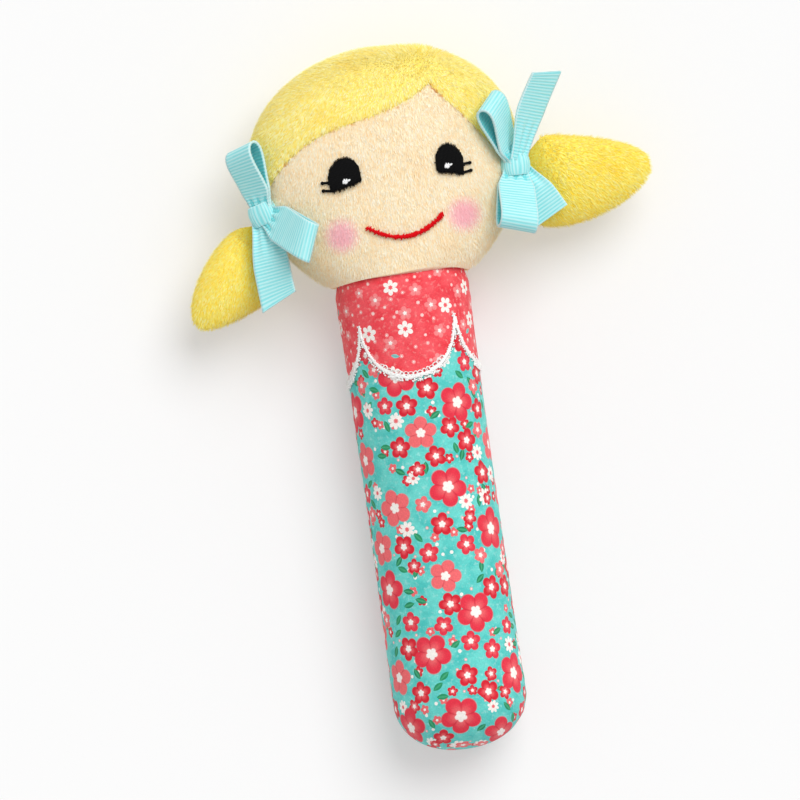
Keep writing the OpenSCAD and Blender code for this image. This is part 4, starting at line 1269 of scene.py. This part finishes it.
class DOLL_OT_stitches(Operator):
    """Makes the embroidered eyes, their glints and the mouth."""

    bl_idname = "doll.stitches"
    bl_label = "Stitches"

    def execute(self, context):
        trim = context.scene.doll_trim
        for side in EYES:
            self.eye(side, trim.eye_pitch)
        self.glints()
        self.mouth(trim.mouth_pitch)
        return {"FINISHED"}

    def eye(self, side, pitch):
        """Rows of satin stitches that dome over an eye, and its two lashes with their knots."""
        sign, middle, width = EYES[side]
        chance = random.Random(5 + sign)
        bm = bmesh.new()
        half, up, down = width / 2, EYE_H * (1 - EYE_LOW), EYE_H * EYE_LOW
        tilt = sign * EYE_SLOPE
        for t in steps(int(width / pitch)):
            a = lerp(-half, half, t)
            top, low = up * rounded(a / half, 2.1), down * rounded(a / half, 6)
            top += chance.uniform(-0.25, 0.2) * MM
            low += chance.uniform(-0.3, 0.35) * MM
            points = []
            for b in (lerp(-low, top, t) for t in steps(8)):
                out = min(1.0, math.hypot(a / half, b / (up if b > 0 else 2 * down)))
                x = middle + a * math.cos(tilt) - b * math.sin(tilt) * 0.35
                level = -EYE_DROP + a * math.sin(tilt) + b
                points.append(on_face(x, level, (0.12 + 0.7 * math.sqrt(1 - out ** 3)) * MM))
            tube(bm, points, 0.26 * MM, 0.22 * MM)
        for drop, slope in LASHES:
            points = []
            for a in (lerp(half - 1.5 * MM, half + 1.9 * MM, t) for t in steps(8)):
                points.append(on_face(middle + sign * a, -EYE_DROP - drop + (a - half) * slope, 0.35 * MM))
            tube(bm, points, 0.36 * MM, 0.28 * MM, tip=0.7)
            tube(bm, points[6:], 0.54 * MM, 0.36 * MM, tip=0.6)
        finish_closed(f"{side}_eye_stitches", bm, "black_stitches", "head", [f"{side}_eye"])

    def glints(self):
        """A few white stitches low in each eye."""
        bm = bmesh.new()
        for x0, level0 in GLINTS:
            for a, b, turn, half in GLINT_STITCHES:
                points = []
                for s in (2 * t - 1 for t in steps(4)):
                    x = x0 + (a + s * half * math.cos(math.radians(turn))) * MM
                    level = level0 + (b + s * half * math.sin(math.radians(turn))) * MM
                    points.append(on_face(x, level, (0.98 + 0.12 * (1 - s * s)) * MM))
                tube(bm, points, 0.27 * MM, 0.2 * MM, tip=0.5)
        finish_closed("eye_glint_stitches", bm, "white_stitches", "head", ["eye_glints"])

    def mouth(self, pitch):
        """Slanting satin stitches along the smile."""
        chance = random.Random(8)
        bm = bmesh.new()
        for s in (2 * t - 1 for t in steps(int(MOUTH_W * 1.1 / pitch))):
            x, y = MOUTH_W / 2 * s, SMILE_SAG * (s * s - 1)
            slope = math.atan2(4 * SMILE_SAG * s, MOUTH_W) + MOUTH_SLANT
            half = (0.72 + chance.uniform(-0.32, 0.28)) * MM
            points = []
            for t in (2 * share - 1 for share in steps(6)):
                px, py = x + t * half * math.cos(slope), y + t * half * math.sin(slope)
                px, py = (
                    px * math.cos(MOUTH_SLOPE) - py * math.sin(MOUTH_SLOPE),
                    px * math.sin(MOUTH_SLOPE) + py * math.cos(MOUTH_SLOPE))
                lift = (0.05 + 0.6 * math.sqrt(1 - t * t)) * MM
                points.append(on_face(FACE_X + px, py - MOUTH_DROP, lift))
            tube(bm, points, 0.22 * MM, 0.2 * MM)
        finish_closed("mouth_stitches", bm, "red_stitches", "head", ["mouth"])


# Pigtails

def swell(s, at, start, most):
    """Half a size that grows from the root to its most and rounds off at the tip."""
    if s < at:
        return lerp(start, most, math.sin(math.pi / 2 * s / at))
    return most * rounded((s - at) / (1 - at), 1.9)


def pigtail_mesh(side, inset):
    """A pigtail's closed leaf form, drawn in from its outer size."""
    reach, point, half_w = PIGTAILS[side]
    joint = JOINTS[f"{side}_pigtail_flop"]
    root, out = Vector(joint["pos_m"]), Vector(joint["axis"]).cross(Vector((0, 0, 1)))
    lead, tip = 0.35 * reach * out, reach * Vector((math.cos(point), math.sin(point), 0))

    def spine(s):
        """A place along the pigtail's middle line."""
        return root + 2 * (1 - s) * s * lead + s * s * tip

    bm = bmesh.new()
    bmesh.ops.create_uvsphere(bm, u_segments=72, v_segments=60, radius=1)
    for vert in bm.verts:
        x, y, z = vert.co
        angle, lat = math.atan2(y, x), math.degrees(math.asin(max(-1.0, min(1.0, z))))
        s = math.sin(math.pi / 2 * max(0.0, lat + ROOT_LATITUDE) / (90 + ROOT_LATITUDE))
        full = min(1.0, (lat + 90) / (90 - ROOT_LATITUDE))
        s *= 1 - inset / reach
        way = (spine(s + 0.01) - spine(s - 0.01)).normalized()
        across = Vector((-way.y, way.x, 0))
        w = max(0.05 * MM, swell(s, 0.25, ROOT_HALF_W, half_w) - inset) * full
        t = max(0.05 * MM, swell(s, 0.42, ROOT_HALF_T, PIGTAIL_HALF_T) - inset * ease(s / 0.3)) * full
        if lat > 89.9:
            w = t = 0
        vert.co = spine(s) - w * math.cos(angle) * across + Vector((0, 0, t * math.sin(angle)))
    weld(bm)
    return bm, tip.normalized()


class DOLL_OT_pigtails(Operator):
    """Makes the plush panels of the two pigtails."""

    bl_idname = "doll.pigtails"
    bl_label = "Pigtails"

    def execute(self, context):
        pile = context.scene.doll_pile
        for side, seed in (("left", 31), ("right", 37)):
            for face, bare, share in (("front", 2 * MM, 1), ("back", 5 * MM, BACK_DENSITY)):
                bm, way = pigtail_mesh(side, PILE_SINK * pile.hair_length)
                keep_half(bm, face == "front")
                bm = in_order(bm)
                bm.normal_update()
                comb(
                    bm, lambda _: 0.5 * way + Vector((0, -0.45, 0)),
                    lambda v: ease((off_hinge(v.co, side) - bare) / (3 * MM)))
                plush_piece(
                    f"{side}_pigtail_{face}_plush", bm, "pigtail_plush", f"{side}_pigtail",
                    [f"{side}_pigtail_{face}"], pile.hair_length, pile.hair_density * share, seed)
        return {"FINISHED"}


# Bows

def knot_place(side):
    """The middle of a bow's knot."""
    low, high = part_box(f"{side}_bow_knot")
    return (low + high) / 2


def ribbon_line(spec, step):
    """The middle line of a loop or a tail, as points in its own plane at even steps."""
    reach, half = spec.reach * MM, spec.opening * MM
    hold = 0.25 * KNOT_SIZE.x
    fine = []
    for t in steps(800):
        if half:
            first = math.asin(hold / reach)
            a = lerp(first, math.pi - first, t)
            fine.append(Vector((reach * math.sin(a), 0, half * math.sin(2 * a) * math.sin(a) ** 1.5 / 0.7)))
        else:
            fine.append(Vector((lerp(hold, reach, t), 0, spec.hump * MM * math.sin(math.pi * t))))
    points, due = [fine[0]], 0.0
    for a, b in zip(fine, fine[1:]):
        due += (b - a).length
        if due >= step:
            points.append(b)
            due -= step
    return points


def ribbon_strip(bm, spec, place, trim):
    """Weaves one ribbed ribbon along its line, gathered into pleats at the knot."""
    reach, is_loop, step = spec.reach * MM, spec.opening > 0, trim.rib_pitch / RIB_STEPS
    along, across_at, inner = (float_layer(bm, name) for name in ("along", "across", "inner"))
    matrix = (
        Matrix.Translation(place + spec.layer * LAYER_H * UP)
        @ Matrix.Rotation(math.radians(spec.direction), 4, "Z")
        @ Matrix.Rotation(-math.radians(spec.pitch), 4, "Y")
        @ Matrix.Rotation(math.radians(spec.roll), 4, "X"))
    line = ribbon_line(spec, step)
    shares = [2 * t - 1 for t in steps(RIBBON_COLUMNS)]
    sections = []
    for i, point in enumerate(line):
        way = line[min(i + 1, len(line) - 1)] - line[max(i - 1, 0)]
        _, rise = frame_at(way, Vector((0, 1, 0)).cross(way))
        open_share = ease((point.x - KNOT_SIZE.x * 0.35) / (reach * (0.28 if is_loop else 0.55)))
        width = lerp(spec.gather * MM, RIBBON_W, open_share)
        pleat = 0.16 * (RIBBON_W - width)
        rib = trim.rib_height * 0.5 * (1 + math.cos(2 * math.pi * i / RIB_STEPS))
        top, low = [], []
        for share in shares:
            spot = point.copy()
            spot.x += spec.slant * MM * share * (point.x / reach) ** (2 if is_loop else 8)
            spot.y = share * width / 2
            spot += rise * pleat * math.cos(3 * math.pi * share)
            thick = RIBBON_T / 2 * (1.25 if abs(share) > 0.9 else 1) + rib
            top.append(matrix @ (spot + rise * thick))
            low.append(matrix @ (spot - rise * thick))
        sections.append(top + low[::-1])
    for i, ring in enumerate(sweep(bm, sections)):
        for j, (vert, share) in enumerate(zip(ring, shares + shares[::-1])):
            vert[along] = i * step / MM
            vert[across_at] = share
            # Marks the inside of a loop, which the ribbon's material darkens as painted shade.
            vert[inner] = 1 if is_loop and j < len(shares) else 0
    return len(line) * step


def knot_band(bm, side, heading, sign, trim):
    """Wraps the knot: a ribbed band round the gathered ribbons, tucked in at its edges."""
    along, across_at = float_layer(bm, "along"), float_layer(bm, "across")
    matrix = (
        Matrix.Translation(knot_place(side))
        @ Matrix.Rotation(math.radians(heading), 4, "Z")
        @ Matrix.Rotation(sign * KNOT_LEAN, 4, "X"))
    half = KNOT_SIZE / 2
    around = RIB_STEPS * KNOT_RIBS
    shares = [math.sin(math.pi / 2 * (2 * t - 1)) for t in steps(14)]
    sections = []
    for s in shares:
        full = lerp(0.8, 1, math.cos(math.pi / 2 * s) ** 0.6)
        section = []
        for j in range(around):
            a = 2 * math.pi * j / around
            rib = trim.rib_height * (0.5 * math.cos(KNOT_RIBS * a) - 0.5)
            c, d = math.cos(a), math.sin(a)
            section.append(matrix @ Vector((
                half.x * s,
                (half.y * full + rib) * math.copysign(abs(c) ** (2 / 2.6), c),
                (half.z * full + rib) * math.copysign(abs(d) ** (2 / 2.6), d))))
        sections.append(section)
    for ring, share in zip(sweep(bm, sections), shares):
        for j, vert in enumerate(ring):
            vert[along] = j / RIB_STEPS * trim.rib_pitch / MM
            vert[across_at] = share


class DOLL_OT_bows(Operator):
    """Makes the two bows: their loops, tails and knots."""

    bl_idname = "doll.bows"
    bl_label = "Bows"

    def execute(self, context):
        trim = context.scene.doll_trim
        for side, (heading, sign, ribbons) in BOWS.items():
            place = knot_place(side)
            for kind in ("loop", "tail"):
                chosen = [key for key in ribbons if key.endswith(kind)]
                for index, key in enumerate(chosen):
                    bm = bmesh.new()
                    run = ribbon_strip(bm, ribbons[key], place, trim)
                    piece = finish_closed(
                        f"{side}_bow_{key}", bm, "ribbed_ribbon", "head",
                        [f"{side}_bow_{kind}s"] if index == 0 else ())
            bm = bmesh.new()
            knot_band(bm, side, heading, sign, trim)
            finish_closed(
                f"{side}_bow_knot_band", bm, "ribbed_ribbon", "head", [f"{side}_bow_knot"])
        return {"FINISHED"}


# Filling and squeaker

def ruffle(bm, depth):
    """Draws a filling's surface in by uneven fluff."""
    bm.normal_update()
    moves = [
        (v, v.normal * depth * (0.5 + 0.5 * noise.noise(v.co * 260) + 0.3 * noise.noise(v.co * 900)))
        for v in bm.verts
    ]
    for vert, move in moves:
        vert.co -= move


class DOLL_OT_filling(Operator):
    """Makes the fibre filling of the head, the pigtails and the body."""

    bl_idname = "doll.filling"
    bl_label = "Filling"

    def execute(self, context):
        self.add("head_fibre", head_mesh(HEAD_FILL_INSET, 72, 56), "head", "head_stuffing")
        for side in PIGTAILS:
            bm, _ = pigtail_mesh(side, PIGTAIL_FILL_INSET)
            self.add(f"{side}_pigtail_fibre", bm, f"{side}_pigtail", f"{side}_pigtail_stuffing")
        for node, name in (("lower_stuffing", "lower_fibre"), ("upper_stuffing", "upper_fibre")):
            low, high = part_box(node)
            self.add(name, self.body_roll(low.y, high.y), "body", node)
        return {"FINISHED"}

    def body_roll(self, low, high):
        """A length of the body's filling, spun about its axis."""
        bm = bmesh.new()
        verts = []
        for t in steps(40):
            y = lerp(low, high, t)
            radius = max(0.0, body_radius(y) - BODY_FILL_INSET) if 0 < t < 1 else 0.0
            verts.append(bm.verts.new((radius, y, SEAM_Z)))
        edges = [bm.edges.new(pair) for pair in zip(verts, verts[1:])]
        bmesh.ops.spin(
            bm, geom=verts + edges, cent=(0, 0, SEAM_Z), axis=(0, 1, 0), angle=2 * math.pi, steps=56,
            use_merge=True)
        weld(bm)
        for vert in bm.verts:
            vert.co.z = max(vert.co.z, FILL_REST_Z)
        return bm

    def add(self, name, bm, body, node):
        """Ruffles a filling and puts it in place of its solid."""
        ruffle(bm, FLUFF)
        piece = finish_piece(name, bm, "fibre_fluff", body, [node])


class DOLL_OT_squeaker(Operator):
    """Makes the squeaker's pleated bellows and finishes its plastic parts."""

    bl_idname = "doll.squeaker"
    bl_label = "Squeaker"

    def execute(self, context):
        for node in ("squeaker_base", "squeaker_reed", "squeaker_cap"):
            mesh = frame["nodes"][node].data
            mesh.materials.clear()
            mesh.materials.append(material("moulded_plastic"))
        low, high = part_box("squeaker_bellows")
        middle, radius = (low + high) / 2, (high.x - low.x) / 2
        bm = bmesh.new()
        outer = []
        for t in steps(48):
            fold = 0.5 - 0.5 * math.cos(2 * math.pi * PLEATS * t)
            outer.append((radius - PLEAT_DEPTH * fold, lerp(low.z, high.z, t)))
        wall = outer + [(r - BELLOWS_T, z) for r, z in reversed(outer)]
        verts = [bm.verts.new((middle.x + r, middle.y, z)) for r, z in wall]
        edges = [bm.edges.new(pair) for pair in zip(verts, verts[1:] + verts[:1])]
        bmesh.ops.spin(
            bm, geom=verts + edges, cent=middle, axis=(0, 0, 1), angle=2 * math.pi, steps=56, use_merge=True)
        weld(bm)
        piece = finish_piece(
            "pleated_bellows", bm, "moulded_plastic", "body", ["squeaker_bellows"])
        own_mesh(piece)
        return {"FINISHED"}


# Stage

class DOLL_OT_stage(Operator):
    """Makes the floor, the light and the camera."""

    bl_idname = "doll.stage"
    bl_label = "Stage"

    def execute(self, context):
        scene = context.scene
        scene.view_settings.view_transform = "Standard"
        self.floor(scene, scene.doll_stage)
        self.light(scene, scene.doll_stage)
        self.camera(scene, scene.doll_stage)
        return {"FINISHED"}

    def floor(self, scene, stage):
        """A pale floor that keeps the doll's shadow."""
        bm = bmesh.new()
        bmesh.ops.create_grid(bm, x_segments=1, y_segments=1, size=FLOOR_HALF)
        mesh = bpy.data.meshes.new("floor")
        bm.to_mesh(mesh)
        bm.free()
        paper, n, shader = new_material("pale_floor", 0.9, 0.0, 0.0)
        pale = colours()["floor"]
        rays = n.add("ShaderNodeLightPath").outputs
        seen = n.math("MAXIMUM", rays["Is Camera Ray"], rays["Is Glossy Ray"])
        seen = n.math("MAXIMUM", seen, rays["Is Transmission Ray"])
        n.feed(shader.inputs["Base Color"], n.mix(seen, pale, tuple(stage.shadow * v for v in pale)))
        shader.inputs["Emission Color"].default_value = (1, 1, 1, 1)
        glow = (1 - stage.shadow) * pale[0] * LIGHT_LEVEL
        n.feed(shader.inputs["Emission Strength"], n.math("MULTIPLY", seen, glow))
        mesh.materials.append(paper)
        floor = bpy.data.objects.new("floor", mesh)
        scene.collection.objects.link(floor)

    def light(self, scene, stage):
        """An even sky and one broad soft lamp."""
        world = bpy.data.worlds.new("soft_sky")
        world.use_nodes = True
        sky = world.node_tree.nodes["Background"]
        sky.inputs["Color"].default_value = (1, 1, 1, 1)
        sky.inputs["Strength"].default_value = stage.sky
        scene.world = world
        lamp = bpy.data.lights.new("key", "SUN")
        lamp.angle = KEY_SOFTNESS
        lamp.energy = (LIGHT_LEVEL - stage.sky) * math.pi / KEY_WAY.z
        key = bpy.data.objects.new("key", lamp)
        key.rotation_euler = KEY_WAY.to_track_quat("Z", "Y").to_euler()
        scene.collection.objects.link(key)

    def camera(self, scene, stage):
        """A camera straight over the doll, turned as in the photograph."""
        data = bpy.data.cameras.new("camera")
        data.sensor_width = SENSOR
        data.lens = SENSOR * stage.distance / stage.view_width
        data.clip_end = 20
        camera = bpy.data.objects.new("camera", data)
        camera.location = (CAMERA_X, 0, SEAM_Z + stage.distance)
        camera.rotation_euler = (0, 0, stage.turn)
        scene.collection.objects.link(camera)
        scene.camera = camera


class DOLL_PT_panel(Panel):
    """Lists the doll's pieces and its sizes and colours."""

    bl_idname = "DOLL_PT_panel"
    bl_label = "Doll"
    bl_space_type = "VIEW_3D"
    bl_region_type = "UI"
    bl_category = "Doll"

    def draw(self, context):
        layout = self.layout
        for operator in OPERATORS:
            layout.operator(operator.bl_idname)
        for group in GROUPS.values():
            settings = getattr(context.scene, group)
            for key in settings.bl_rna.properties.keys():
                if key not in ("rna_type", "name"):
                    layout.prop(settings, key)


GROUPS = {DollPile: "doll_pile", DollTrim: "doll_trim", DollColours: "doll_colours", DollStage: "doll_stage"}
OPERATORS = (
    DOLL_OT_dress, DOLL_OT_yoke, DOLL_OT_lace, DOLL_OT_head, DOLL_OT_stitches, DOLL_OT_pigtails, DOLL_OT_bows,
    DOLL_OT_filling, DOLL_OT_squeaker, DOLL_OT_stage,
)


def register():
    """Registers the classes and the settings that they read."""
    for cls in (*GROUPS, *OPERATORS, DOLL_PT_panel):
        bpy.utils.register_class(cls)
    for cls, group in GROUPS.items():
        setattr(bpy.types.Scene, group, PointerProperty(type=cls))


def unregister():
    """Takes the settings and the classes out again."""
    for group in GROUPS.values():
        delattr(bpy.types.Scene, group)
    for cls in reversed((*GROUPS, *OPERATORS, DOLL_PT_panel)):
        bpy.utils.unregister_class(cls)


def main():
    """Makes every piece and the stage."""
    register()
    bpy.ops.doll.dress()
    bpy.ops.doll.yoke()
    bpy.ops.doll.lace()
    bpy.ops.doll.head()
    bpy.ops.doll.stitches()
    bpy.ops.doll.pigtails()
    bpy.ops.doll.bows()
    bpy.ops.doll.filling()
    bpy.ops.doll.squeaker()
    bpy.ops.doll.stage()


if __name__ == "__main__":
    main()
